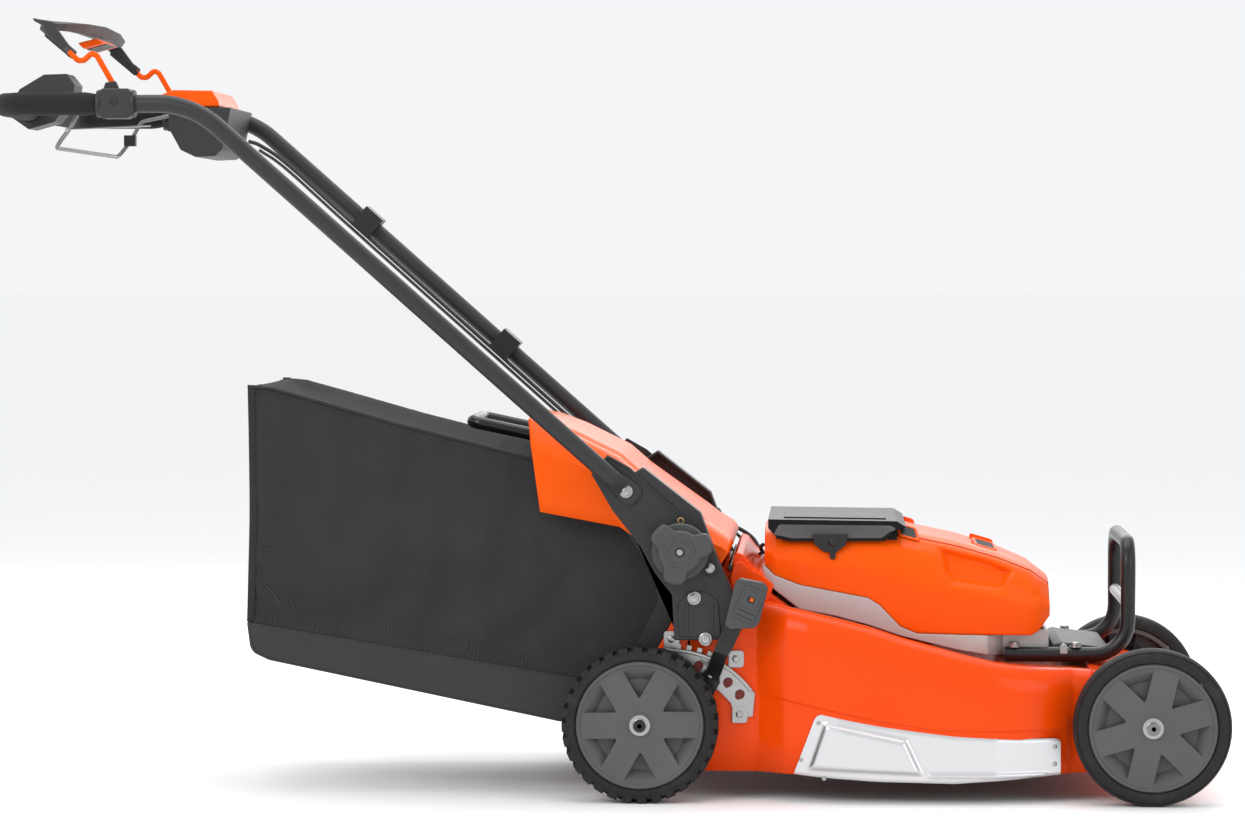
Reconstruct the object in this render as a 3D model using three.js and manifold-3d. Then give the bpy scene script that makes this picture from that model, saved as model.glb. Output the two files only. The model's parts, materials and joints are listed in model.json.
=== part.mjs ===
// Battery push lawn mower, built as separate pieces. Millimetres, +Z up, +X towards the front, -Y is the
// mower's right-hand side. Every station below is measured from the rear wheel's centre; the finished group is
// moved along X so that the origin is the middle of the ground rectangle that the mower covers.
import * as THREE from 'three';
import { mergeVertices } from 'three/addons/utils/BufferGeometryUtils.js';
import Module from 'manifold-3d';

const wasm = await Module();
wasm.setup();

// ---- driving dimensions ----
const WHEEL_R = 105;
const WHEELBASE = 682;
const REAR_END = -889;
const SHIFT_X = -(REAR_END + WHEELBASE + WHEEL_R) / 2;
const GAP = 0.3;
const RIGHT = -1;
const LEFT = 1;

const TYRE_IN = 233;
const TYRE_OUT = 277;
const RIM_R = 86;
const WHEEL_SIDES = 32;
const CRANK_X = 40;
const CRANK_Z = 67;
const LINK_PIN_Z = 100;
const CRANK_IN = 223;
const CRANK_OUT = 230;
const STUB_R = 8;

const TUBE_R = 12;
const TUBE_Y = 265;
const HANDLE_FOOT = [-35, 433];
const HANDLE_BEND = [-601, 935];
const HANDLE_REAR_X = -860;
const BAIL_AXIS = [-706, 939];
const FOLD_AXIS = [54, 338];
const BRACKET_IN = 219.3;
const BRACKET_OUT = 249;

const BLADE_X = 347;
const BLADE_R = 214;
const WALL = 3.5;

// ---- materials ----
const paint = (name, color, roughness, metalness) => {
  const material = new THREE.MeshStandardMaterial({ color, roughness, metalness });
  material.name = name;
  return material;
};
const ORANGE = paint('orange_paint', 0xf4571d, 0.3, 0.0);
const CHARCOAL = paint('charcoal_powder_coat', 0x3a3b3c, 0.5, 0.3);
const RIM_GREY = paint('rim_grey', 0x5d5e60, 0.6, 0.0);
const RUBBER = paint('tyre_rubber', 0x1c1c1d, 0.9, 0.0);
const ALUMINIUM = paint('pressed_aluminium', 0xc9ccce, 0.35, 0.9);
const ZINC = paint('zinc_steel', 0xa9adb0, 0.4, 0.9);
const BLACK = paint('black_plastic', 0x232425, 0.55, 0.0);
const DARK = paint('grey_plastic', 0x3d3e40, 0.6, 0.0);
const SMOKE = paint('smoked_lid', 0x2b2d30, 0.15, 0.0);
const FABRIC = paint('bag_fabric', 0x2e2f31, 0.95, 0.0);
const FOAM = paint('grip_foam', 0x2c2d2e, 0.9, 0.0);
const STEEL = paint('blade_steel', 0x77797c, 0.45, 0.9);

const group = new THREE.Group();
group.name = 'push_lawn_mower';

// ---- geometry helpers ----
function closedGeometry(vertices, triangles) {
  let volume = 0;
  for (const [a, b, c] of triangles) {
    const [p, q, r] = [vertices[a], vertices[b], vertices[c]];
    volume += p[0] * (q[1] * r[2] - q[2] * r[1]);
    volume += p[1] * (q[2] * r[0] - q[0] * r[2]);
    volume += p[2] * (q[0] * r[1] - q[1] * r[0]);
  }
  const faces = volume < 0 ? triangles.map(([a, b, c]) => [a, c, b]) : triangles;
  const geometry = new THREE.BufferGeometry();
  geometry.setAttribute('position', new THREE.Float32BufferAttribute(vertices.flat(), 3));
  geometry.setIndex(faces.flat());
  return geometry;
}

function toManifold(geometry) {
  const merged = mergeVertices(geometry, 1e-3);
  const vertProperties = Float32Array.from(merged.attributes.position.array);
  const triVerts = Uint32Array.from(merged.index.array);
  return new wasm.Manifold(new wasm.Mesh({ numProp: 3, vertProperties, triVerts }));
}

function toGeometry(manifold) {
  const mesh = manifold.getMesh();
  const geometry = new THREE.BufferGeometry();
  geometry.setAttribute('position', new THREE.Float32BufferAttribute(mesh.vertProperties, 3));
  geometry.setIndex(Array.from(mesh.triVerts));
  return geometry;
}

const union = (...parts) => toGeometry(parts.map(toManifold).reduce((a, b) => a.add(b)));
const common = (a, b) => toGeometry(toManifold(a).intersect(toManifold(b)));
const cut = (body, ...tools) => toGeometry(tools.map(toManifold).reduce((a, b) => a.subtract(b), toManifold(body)));

const place = {
  x: (u, v, w) => [w, u, v],
  y: (u, v, w) => [u, w, v],
  z: (u, v, w) => [u, v, w],
};

function prism(axis, outline, from, to, holes = []) {
  const contour = outline.map(([u, v]) => new THREE.Vector2(u, v));
  if (THREE.ShapeUtils.isClockWise(contour)) {
    contour.reverse();
  }
  const inner = holes.map((hole) => {
    const ring = hole.map(([u, v]) => new THREE.Vector2(u, v));
    return THREE.ShapeUtils.isClockWise(ring) ? ring : ring.reverse();
  });
  const loops = [contour, ...inner];
  const flat = loops.flat();
  const count = flat.length;
  const vertices = [];
  for (const w of [from, to]) {
    flat.forEach((p) => vertices.push(place[axis](p.x, p.y, w)));
  }
  const triangles = [];
  for (const [a, b, c] of THREE.ShapeUtils.triangulateShape(contour, inner)) {
    triangles.push([a, c, b], [a + count, b + count, c + count]);
  }
  let start = 0;
  for (const loop of loops) {
    for (let i = 0; i < loop.length; i += 1) {
      const a = start + i;
      const b = start + ((i + 1) % loop.length);
      triangles.push([a, b, b + count], [a, b + count, a + count]);
    }
    start += loop.length;
  }
  return closedGeometry(vertices, triangles);
}

const box = (x0, x1, y0, y1, z0, z1) => prism('z', [[x0, y0], [x1, y0], [x1, y1], [x0, y1]], z0, z1);

function circle(u, v, r, count = 16, phase = 0.5) {
  const points = [];
  for (let i = 0; i < count; i += 1) {
    const angle = ((i + phase) / count) * Math.PI * 2;
    points.push([u + r * Math.cos(angle), v + r * Math.sin(angle)]);
  }
  return points;
}

const disc = (axis, u, v, r, from, to, count = 16, bore = 0) => prism(
  axis,
  circle(u, v, r, count),
  from,
  to,
  bore ? [circle(u, v, bore, count)] : [],
);

// Closed body through equal rings of points, capped at both ends.
function loft(rings) {
  const count = rings[0].length;
  const vertices = rings.flat();
  const triangles = [];
  for (let k = 0; k < rings.length - 1; k += 1) {
    for (let i = 0; i < count; i += 1) {
      const a = k * count + i;
      const b = k * count + ((i + 1) % count);
      triangles.push([a, b, b + count], [a, b + count, a + count]);
    }
  }
  const capFace = (ring, offset, flip) => {
    const n = new THREE.Vector3();
    ring.forEach((p, i) => {
      const q = ring[(i + 1) % count];
      n.x += (p[1] - q[1]) * (p[2] + q[2]);
      n.y += (p[2] - q[2]) * (p[0] + q[0]);
      n.z += (p[0] - q[0]) * (p[1] + q[1]);
    });
    const u = new THREE.Vector3(Math.abs(n.x) > 0.9 * n.length() ? 0 : 1, Math.abs(n.x) > 0.9 * n.length() ? 1 : 0, 0);
    u.crossVectors(n, u).normalize();
    const v = new THREE.Vector3().crossVectors(n, u).normalize();
    const flat = ring.map((p) => {
      const point = new THREE.Vector3(...p);
      return new THREE.Vector2(point.dot(u), point.dot(v));
    });
    for (const [a, b, c] of THREE.ShapeUtils.triangulateShape(flat, [])) {
      triangles.push(flip ? [a + offset, c + offset, b + offset] : [a + offset, b + offset, c + offset]);
    }
  };
  capFace(rings[0], 0, true);
  capFace(rings[rings.length - 1], (rings.length - 1) * count, false);
  return closedGeometry(vertices, triangles);
}

// Body of revolution about an axis, from a closed profile of [radius, station] that stays off the axis.
function lathe(axis, u, v, profile, segments) {
  const vertices = [];
  const count = profile.length;
  for (let i = 0; i < segments; i += 1) {
    const angle = ((i + 0.5) / segments) * Math.PI * 2;
    profile.forEach(([r, w]) => vertices.push(place[axis](u + r * Math.cos(angle), v + r * Math.sin(angle), w)));
  }
  const triangles = [];
  for (let i = 0; i < segments; i += 1) {
    for (let j = 0; j < count; j += 1) {
      const a = i * count + j;
      const b = i * count + ((j + 1) % count);
      const c = ((i + 1) % segments) * count + j;
      const d = ((i + 1) % segments) * count + ((j + 1) % count);
      triangles.push([a, b, d], [a, d, c]);
    }
  }
  return closedGeometry(vertices, triangles);
}

// Replaces each inner corner of a path with an arc.
function rounded(points, radii, steps = 5) {
  const path = [new THREE.Vector3(...points[0])];
  for (let i = 1; i < points.length - 1; i += 1) {
    const corner = new THREE.Vector3(...points[i]);
    const before = new THREE.Vector3(...points[i - 1]).sub(corner).normalize();
    const after = new THREE.Vector3(...points[i + 1]).sub(corner).normalize();
    const half = before.angleTo(after) / 2;
    const radius = Array.isArray(radii) ? radii[i - 1] : radii;
    const reach = radius / Math.tan(half);
    const centre = before.clone().add(after).normalize().multiplyScalar(radius / Math.sin(half)).add(corner);
    const start = before.clone().multiplyScalar(reach).add(corner).sub(centre);
    const end = after.clone().multiplyScalar(reach).add(corner).sub(centre);
    const sweep = start.angleTo(end);
    const normal = new THREE.Vector3().crossVectors(start, end).normalize();
    for (let k = 0; k <= steps; k += 1) {
      path.push(start.clone().applyAxisAngle(normal, (sweep * k) / steps).add(centre));
    }
  }
  path.push(new THREE.Vector3(...points[points.length - 1]));
  return path;
}

function sweepRings(path, radius, count) {
  const rings = [];
  let side = null;
  path.forEach((point, i) => {
    const into = i > 0 ? point.clone().sub(path[i - 1]).normalize() : null;
    const out = i < path.length - 1 ? path[i + 1].clone().sub(point).normalize() : null;
    const tangent = (into && out ? into.clone().add(out) : (into || out).clone()).normalize();
    if (side === null) {
      side = new THREE.Vector3(0, 1, 0);
      if (Math.abs(tangent.y) > 0.9) {
        side.set(0, 0, 1);
      }
    }
    side.addScaledVector(tangent, -side.dot(tangent)).normalize();
    const up = new THREE.Vector3().crossVectors(tangent, side);
    const ring = [];
    for (let k = 0; k < count; k += 1) {
      const angle = ((k + 0.5) / count) * Math.PI * 2;
      const p = point.clone();
      p.addScaledVector(side, radius * Math.cos(angle)).addScaledVector(up, radius * Math.sin(angle));
      ring.push([p.x, p.y, p.z]);
    }
    rings.push(ring);
  });
  return rings;
}

const tube = (path, radius, count = 12) => loft(sweepRings(path, radius, count));

// Hollow sleeve that follows a path, open at both ends.
function sleeve(path, outer, inner, count = 12) {
  const out = sweepRings(path, outer, count);
  const bore = sweepRings(path, inner, count);
  const vertices = [...out.flat(), ...bore.flat()];
  const base = out.length * count;
  const triangles = [];
  const quad = (a, b, c, d) => triangles.push([a, b, c], [a, c, d]);
  for (let i = 0; i < count; i += 1) {
    const j = (i + 1) % count;
    for (let k = 0; k < out.length - 1; k += 1) {
      quad(k * count + i, k * count + j, (k + 1) * count + j, (k + 1) * count + i);
      quad(base + k * count + j, base + k * count + i, base + (k + 1) * count + i, base + (k + 1) * count + j);
    }
    const last = (out.length - 1) * count;
    quad(j, i, base + i, base + j);
    quad(last + i, last + j, base + last + j, base + last + i);
  }
  return closedGeometry(vertices, triangles);
}

function smooth(points, samples) {
  const curve = new THREE.CatmullRomCurve3(points.map((p) => new THREE.Vector3(...p)), false, 'centripetal');
  return curve.getSpacedPoints(samples);
}

// Moves every edge of an outline inwards by a distance.
function inset(outline, distance) {
  const area = outline.reduce((sum, p, i) => {
    const q = outline[(i + 1) % outline.length];
    return sum + p[0] * q[1] - q[0] * p[1];
  }, 0);
  const turn = area > 0 ? 1 : -1;
  return outline.map((p, i) => {
    const a = outline[(i + outline.length - 1) % outline.length];
    const b = outline[(i + 1) % outline.length];
    const d1 = new THREE.Vector2(p[0] - a[0], p[1] - a[1]).normalize();
    const d2 = new THREE.Vector2(b[0] - p[0], b[1] - p[1]).normalize();
    const n1 = new THREE.Vector2(-d1.y, d1.x).multiplyScalar(turn);
    const n2 = new THREE.Vector2(-d2.y, d2.x).multiplyScalar(turn);
    const n = n1.add(n2);
    n.multiplyScalar((2 * distance) / n.lengthSq());
    return [p[0] + n.x, p[1] + n.y];
  });
}

function lookup(table, x, column) {
  if (x <= table[0][0]) {
    return table[0][column];
  }
  for (let i = 0; i < table.length - 1; i += 1) {
    if (x <= table[i + 1][0]) {
      const t = (x - table[i][0]) / (table[i + 1][0] - table[i][0]);
      return table[i][column] + t * (table[i + 1][column] - table[i][column]);
    }
  }
  return table[table.length - 1][column];
}

function add(name, geometry, material) {
  const flat = geometry.index ? geometry.toNonIndexed() : geometry;
  flat.translate(SHIFT_X, 0, 0);
  flat.computeVertexNormals();
  const mesh = new THREE.Mesh(flat, material);
  mesh.name = name;
  group.add(mesh);
}

const sided = (side, near, far) => (side < 0 ? [-far, -near] : [near, far]);
const SIDES = [[RIGHT, 'right'], [LEFT, 'left']];

// ---- cutter deck ----
// Stations: x, half width, shoulder height, drop from the shoulder to the flat top.
const DECK = [
  [62, 217, 284, 6],
  [157, 217, 270, 8],
  [176, 233, 265, 9],
  [195, 247, 261, 9],
  [225, 257, 255, 9],
  [265, 263, 246, 9],
  [305, 265, 236, 9],
  [350, 265, 221, 9],
  [424, 265, 201, 9],
  [475, 261, 188, 8.5],
  [515, 251, 182, 6],
  [548, 236, 179, 4.5],
  [580, 217, 177, 4.5],
  [612, 215, 174, 4.5],
];
const DECK_FLOOR = 38;

function deckSection([x, half, shoulder, drop], wall) {
  const w = half - wall;
  const top = shoulder - wall;
  const side = [
    [w, DECK_FLOOR - (wall ? 1 : 0)],
    [w, shoulder - 46],
    [w - 3, top - 14],
    [w - 12, top - 3],
    [w - 27, top],
    [184, top - drop],
  ];
  const left = side.map(([y, z]) => [x, y, z]);
  const right = side.map(([y, z]) => [x, -y, z]).reverse();
  return [...left, ...right];
}

function cutterDeck() {
  const outer = loft(DECK.map((station) => deckSection(station, 0)));
  const innerStations = DECK.map((station) => [...station]);
  innerStations[0][0] += WALL;
  innerStations[innerStations.length - 1][0] -= WALL;
  const inner = loft(innerStations.map((station) => deckSection(station, WALL)));
  const chute = [[64, 140], [62, 150], [27, 186], [31, 197], [106, 305], [126, 306], [158, 289], [176, 271], [212, 245], [240, 236]];
  chute.push([240, 140]);
  const chuteIn = [[66, 130], [66, 152], [33, 187], [24, 190], [104, 318], [104, 301], [125, 301], [155, 285]];
  chuteIn.push([173, 266], [210, 241], [236, 232], [240, 130]);
  const nose = [[606, 176], [640, 171], [700, 158], [742, 128], [746, 60], [700, 55], [606, 55]];
  const noseIn = [[620, 172], [640, 168], [699, 155], [739, 126], [742.5, 40], [600, 40], [620, 120]];
  const cheek = [[66, 40], [30, 44], [20, 60], [20, 200], [29, 216], [49, 255], [58, 266], [66, 266]];
  const parts = [
    outer,
    prism('y', chute, -190, 190),
    prism('y', nose, -212, 212),
  ];
  for (const side of [RIGHT, LEFT]) {
    parts.push(prism('y', cheek, ...sided(side, 213, 217)));
  }
  const tools = [
    inner,
    prism('y', chuteIn, -186, 186),
    prism('y', noseIn, -208.5, 208.5),
    disc('z', BLADE_X, 0, 57, 150, 300, 24),
    disc('y', CRANK_X, CRANK_Z, 7.5, -230, 230),
    disc('y', WHEELBASE + CRANK_X, CRANK_Z, 7.5, -230, 230),
    box(144, 178, 212, 226.5, 84, 112),
    box(552, 592, 212, 226.5, 84, 112),
  ];
  return cut(union(...parts), ...tools);
}
add('deck', cutterDeck(), ORANGE);

// Pressed cover on each side of the deck. Rows: height fraction, stand-off from the deck wall.
const PANEL_ROWS = [[0, 2], [0.14, 3], [0.24, 9], [0.7, 9], [0.82, 3], [1, 2]];
const PANEL_BOTTOM = [[0, 38], [0.33, 30], [0.62, 28], [0.84, 33], [1, 38.5]];
const PANEL_TOP = [[0, 121], [0.24, 105], [0.52, 93], [0.76, 87], [1, 87]];

function sidePanel(side) {
  const rings = [];
  for (const s of [0, 0.04, 0.12, 0.24, 0.42, 0.48, 0.615, 0.75, 0.81, 0.86, 0.95, 1]) {
    const low = lookup(PANEL_BOTTOM, s, 1);
    const high = lookup(PANEL_TOP, s, 1);
    const relief = s < 0.03 || s > 0.45 ? 0.15 : 1;
    const row = (sheet) => PANEL_ROWS.map(([t, out]) => {
      const z = low + (high - low) * t;
      const x = (205 + 357 * s) * (1 - t) + (236 + 326 * s) * t;
      const stand = 1.5 + (out - 1.5) * relief;
      return [x, side * (lookup(DECK, x, 1) + stand + sheet), z];
    });
    rings.push([...row(2.2), ...row(0).reverse()]);
  }
  return loft(rings);
}
for (const [side, label] of SIDES) {
  add(`side_panel_${label}`, sidePanel(side), ALUMINIUM);
}

// ---- motor base, housing, lid and batteries ----
const HOUSING_EDGE = [[163, 311], [178, 297], [213, 284], [305, 267], [321, 257], [349, 228], [372, 218.5], [528, 214.5]];
HOUSING_EDGE.push([539, 221]);

function motorBase() {
  const upper = HOUSING_EDGE.map(([x, z]) => [x, z - GAP]).concat([[552, 221], [553, 186]]);
  const lower = [[475, 187], [424, 197], [350, 215], [305, 230], [260, 242], [212, 251], [178, 277], [161, 296]];
  const plan = [[150, 152], [430, 152], [468, 140], [490, 113], [556, 108], [556, -108], [490, -113], [468, -140]];
  plan.push([430, -152], [150, -152]);
  const body = common(prism('y', upper.concat(lower), -152, 152), prism('z', plan, 100, 400));
  const bay = [[296, 144], [426, 144], [462, 133], [484, 106], [546, 101], [546, -101], [484, -106], [462, -133]];
  bay.push([426, -144], [296, -144]);
  const pocket = [[182, 350], [182, 274], [288, 266], [288, 350]];
  return cut(
    body,
    prism('z', bay, 150, 320),
    prism('y', pocket, -130, 130),
    disc('z', BLADE_X, 0, 57, 150, 340, 24),
  );
}
add('motor_base_frame', motorBase(), ALUMINIUM);

// Stations: x, half width, lower edge, side break, shoulder, top.
const HOUSING = [
  [164, 132, 311, 330, 350, 357],
  [178, 143, 297, 322, 352, 360],
  [213, 148, 284, 318, 352, 360],
  [305, 150, 267, 310, 351, 360],
  [321, 150, 257, 306, 350, 360],
  [349, 150, 228, 296, 348, 360],
  [372, 150, 218.5, 288, 342, 353],
  [430, 148, 217, 276, 330, 341],
  [484, 140, 216, 266, 314, 325],
  [528, 128, 214.5, 256, 296, 307],
  [539, 123, 221, 254, 288, 298],
  [554, 108, 240, 254, 276, 287],
];

function housingSection([x, half, low, brk, shoulder, top], wall) {
  const side = [
    [half - 2 - wall, low - (wall ? 60 : 0)],
    [half - wall, brk],
    [half - 8 - wall, shoulder - 16],
    [half - 24 - wall, shoulder - wall],
    [half - 60, top - wall],
  ];
  const left = side.map(([y, z]) => [x, y, z]);
  const right = side.map(([y, z]) => [x, -y, z]).reverse();
  return [...left, ...right];
}

const LID_EDGE = [[169, 373], [344, 371], [357, 363], [340, 357], [328, 344], [199, 343], [182, 347], [169, 361]];

function motorHousing() {
  const outer = loft(HOUSING.map((station) => housingSection(station, 0)));
  const hollow = HOUSING.filter(([x]) => x >= 349).map((station) => [...station]);
  hollow[0][0] = 353;
  hollow[hollow.length - 1][0] = 549;
  const inner = loft(hollow.map((station) => housingSection(station, WALL)));
  const notch = [[166, 362], [180, 346], [198, 342.4], [329, 342.4], [341, 356], [352, 361], [352, 390], [160, 390]];
  const scoop = [[392, 330], [474, 309], [506, 297], [484, 280], [410, 296]];
  return cut(
    outer,
    inner,
    box(180, 345, -126, 126, 200, 400),
    box(150, 360, -190, 190, 360.2, 400),
    prism('y', notch, 130, 190),
    prism('y', notch, -190, -130),
    prism('y', scoop, 138, 190),
    prism('y', scoop, -190, -138),
    disc('z', BLADE_X, 0, 57, 150, 266, 24),
  );
}
add('motor_housing', motorHousing(), ORANGE);

const lidShell = cut(
  prism('y', LID_EDGE, -144.5, 144.5),
  prism('y', [[160, 300], [160, 361], [173, 368.5], [342, 367], [350, 361], [360, 361], [360, 300]], -133.5, 133.5),
  box(150, 360, 132, 150, 330, 346.5),
);
add('battery_lid', lidShell, SMOKE);
const latchOutline = [[229, 353], [278, 353], [275, 339], [263, 329], [245, 329], [232, 339]];
add('lid_latch', prism('y', latchOutline, -149.5, -145.2), BLACK);

add('motor_stator', disc('z', BLADE_X, 0, 55, 200, 262, 24, 10), STEEL);
for (const [side, label] of SIDES) {
  add(`battery_pack_${label}`, box(184, 285, ...sided(side, 4, 92), 275.5, 352), BLACK);
}
add('control_module', box(430, 515, -60, 60, 194, 240), BLACK);

// ---- front bar and plate ----
const barPath = rounded(
  [[492, -125, 188.5], [659, -125, 188.5], [659, -125, 341], [659, 125, 341], [659, 125, 188.5], [492, 125, 188.5]],
  [46, 34, 34, 46],
  4,
);
const crossTube = tube([new THREE.Vector3(659, -124, 258), new THREE.Vector3(659, 124, 258)], 8, 10);
add('front_bar', union(tube(barPath, 10, 10), crossTube), CHARCOAL);
add('front_plate', prism('y', [[558, 183], [558, 201], [570, 204], [634, 197], [638, 183]], -113, 113), DARK);

// ---- handle brackets ----
const BRACKET = [[-41, 421], [-20, 378], [19, 307], [42, 278], [45, 217], [127, 218], [128, 272], [104, 325]];
BRACKET.push([80, 389], [70, 397], [3, 449]);
for (const [side, label] of SIDES) {
  const pan = cut(
    prism('y', BRACKET, ...sided(side, BRACKET_IN, BRACKET_OUT)),
    prism('y', inset(BRACKET, 4), ...sided(side, BRACKET_IN - 5, BRACKET_OUT - 5)),
    disc('y', ...FOLD_AXIS, 6.5, ...sided(side, 210, 260)),
  );
  add(`handle_bracket_${label}`, pan, BLACK);
}

// ---- height adjustment ----
function quadrantOutline() {
  const points = [];
  for (let a = 98; a >= 34; a -= 8) {
    points.push([CRANK_X + 136 * Math.cos((a * Math.PI) / 180), CRANK_Z + 136 * Math.sin((a * Math.PI) / 180)]);
  }
  points.push([150, 112], [126, 110]);
  for (let a = 38; a <= 98; a += 12) {
    points.push([CRANK_X + 102 * Math.cos((a * Math.PI) / 180), CRANK_Z + 102 * Math.sin((a * Math.PI) / 180)]);
  }
  return points;
}
const NOTCH_ANGLES = [72, 61, 50, 39];
const notches = NOTCH_ANGLES.map((angle) => {
  const a = (angle * Math.PI) / 180;
  return circle(CRANK_X + 119 * Math.cos(a), CRANK_Z + 119 * Math.sin(a), 6.5, 10);
});
add('height_quadrant', prism('y', quadrantOutline(), -221, -217.3, notches), ZINC);

function crankOutline(x, armTop) {
  const points = [];
  const arc = (cx, cz, r, a0, a1, steps) => {
    for (let k = 0; k <= steps; k += 1) {
      const a = ((a0 + ((a1 - a0) * k) / steps) * Math.PI) / 180;
      points.push([cx + r * Math.cos(a), cz + r * Math.sin(a)]);
    }
  };
  arc(x, WHEEL_R, 17, 130, 230, 4);
  arc(x + CRANK_X, CRANK_Z, 17, 230, 380, 5);
  arc(x + CRANK_X, armTop, 11, 0, 120, 4);
  return points;
}
function stub(side, x, inner) {
  return union(
    disc('y', x, WHEEL_R, STUB_R, ...sided(side, inner, 282)),
    disc('y', x, WHEEL_R, 8.6, ...sided(side, 273, 280), 12),
  );
}
const linkPin = (x) => disc('y', x, LINK_PIN_Z, 4, 218.2, CRANK_IN + 2, 12);
const crankPlate = (side, x) => prism('y', crankOutline(x, LINK_PIN_Z), ...sided(side, CRANK_IN, CRANK_OUT));

add('rear_axle', union(
  disc('y', CRANK_X, CRANK_Z, 7, -222.7, 225),
  crankPlate(LEFT, 0),
  stub(LEFT, 0, 225),
  linkPin(CRANK_X),
), ZINC);
const FRONT_PIVOT_X = WHEELBASE + CRANK_X;
add('front_axle', union(
  disc('y', FRONT_PIVOT_X, CRANK_Z, 7, -225, 225),
  crankPlate(LEFT, WHEELBASE),
  crankPlate(RIGHT, WHEELBASE),
  stub(LEFT, WHEELBASE, 225),
  stub(RIGHT, WHEELBASE, 225),
  linkPin(FRONT_PIVOT_X),
), ZINC);
const rodOutline = [[CRANK_X - 9, 94], [CRANK_X - 9, 106], [FRONT_PIVOT_X + 9, 106], [FRONT_PIVOT_X + 9, 94]];
add('height_link_rod', prism('y', rodOutline, 218.5, 222.3, [
  circle(CRANK_X, LINK_PIN_Z, 4.5, 12),
  circle(FRONT_PIVOT_X, LINK_PIN_Z, 4.5, 12),
]), ZINC);

function heightLever() {
  const plate = [[-17, 105], [-9, 90], [28, 54], [44, 50], [57, 62], [62, 80], [106, 158], [104, 176], [90, 178]];
  plate.push([78, 168], [40, 96], [12, 118], [-3, 122], [-14, 117]);
  const ring = (y0, y1, x0, z0, x1, z1) => [[x0, y0, z0], [x0, y1, z0], [x1, y1, z1], [x1, y0, z1]];
  const jog = loft([
    ring(-223, -230, 84, 166, 103, 160),
    ring(-226, -236, 89, 178, 108, 172),
    ring(-252, -262, 98, 204, 117, 198),
    ring(-256, -264, 104, 218, 125, 210),
    ring(-256, -264, 122, 262, 144, 254),
  ]);
  return union(prism('y', plate, -CRANK_OUT, -CRANK_IN), jog, stub(RIGHT, 0, 225));
}
add('height_lever', heightLever(), CHARCOAL);
const gripOutline = [[113, 240], [127, 297], [134, 302], [165, 296], [171, 289], [160, 244], [154, 236], [120, 234]];
add('lever_grip', cut(
  prism('y', gripOutline, -271, -250),
  prism('y', [[102, 213], [119, 265], [148, 257], [130, 205]], -264.4, -255.6),
), DARK);

// ---- wheels ----
function rearTyreOutline() {
  const lugs = 32;
  const points = [];
  for (let i = 0; i < lugs; i += 1) {
    const middle = -Math.PI / 2 + (i * Math.PI * 2) / lugs;
    const pitch = (Math.PI * 2) / lugs;
    const crest = WHEEL_R / Math.cos(pitch * 0.3);
    for (const [t, r] of [[-0.3, crest], [0.3, crest], [0.37, WHEEL_R - 5], [0.63, WHEEL_R - 5]]) {
      points.push([r * Math.cos(middle + t * pitch), WHEEL_R + r * Math.sin(middle + t * pitch)]);
    }
  }
  return points;
}
function rearTyre(side) {
  const [y0, y1] = sided(side, TYRE_IN, TYRE_OUT);
  return prism('y', rearTyreOutline(), y0, y1, [circle(0, WHEEL_R, RIM_R + GAP, WHEEL_SIDES)]);
}
function frontTyre(side) {
  const at = (y) => side * y;
  const k = 1 / Math.cos(Math.PI / WHEEL_SIDES);
  const profile = [
    [RIM_R + GAP, at(236)], [95, at(233)], [101.5, at(236)], [WHEEL_R * k, at(243)],
    [WHEEL_R * k, at(267)], [101.5, at(274)], [95, at(277)], [RIM_R + GAP, at(274)],
  ];
  return lathe('y', WHEELBASE, WHEEL_R, profile, WHEEL_SIDES);
}
function rim(side, x) {
  const at = (y) => side * y;
  const profile = [
    [STUB_R + GAP, at(233.5)], [23, at(233.5)], [23, at(256)], [77, at(256)], [79, at(235)],
    [RIM_R, at(235)], [RIM_R, at(274)], [80, at(275.5)], [75, at(270)], [STUB_R + GAP, at(271.5)],
  ];
  const pockets = [];
  for (let i = 0; i < 6; i += 1) {
    const a = (i * Math.PI) / 3 + Math.PI / 6;
    const corner = (r, da) => [x + r * Math.cos(a + da), WHEEL_R + r * Math.sin(a + da)];
    const outline = [corner(33, 0.16), corner(68, 0.42), corner(73, 0), corner(68, -0.42), corner(33, -0.16)];
    pockets.push(prism('y', outline, ...sided(side, 261, 290)));
  }
  return cut(lathe('y', x, WHEEL_R, profile, WHEEL_SIDES), ...pockets);
}
for (const [side, label] of SIDES) {
  add(`rear_tyre_${label}`, rearTyre(side), RUBBER);
  add(`rear_rim_${label}`, rim(side, 0), RIM_GREY);
  add(`front_tyre_${label}`, frontTyre(side), RUBBER);
  add(`front_rim_${label}`, rim(side, WHEELBASE), RIM_GREY);
}

// ---- blade ----
function bladeBar() {
  const bar = prism('z', [[-BLADE_R, -26], [BLADE_R, -26], [BLADE_R, 26], [-BLADE_R, 26]], 50, 54, [circle(0, 0, 9, 12)]);
  const sails = [1, -1].map((s) => {
    const ring = (d, lift) => [
      [s * 120, s * d, 50 + lift], [s * BLADE_R, s * d, 50 + lift],
      [s * BLADE_R, s * d, 54 + lift], [s * 120, s * d, 54 + lift],
    ];
    return loft([ring(20, 0), ring(27, 1), ring(42, 15)]);
  });
  const body = union(bar, ...sails);
  body.translate(BLADE_X, 0, 0);
  return body;
}
add('blade', bladeBar(), STEEL);
add('blade_hub', union(
  disc('z', BLADE_X, 0, 8.5, 44, 240, 12),
  disc('z', BLADE_X, 0, 30, 54.4, 72, 20),
  disc('z', BLADE_X, 0, 14, 40, 49.6, 6),
), ZINC);

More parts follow.
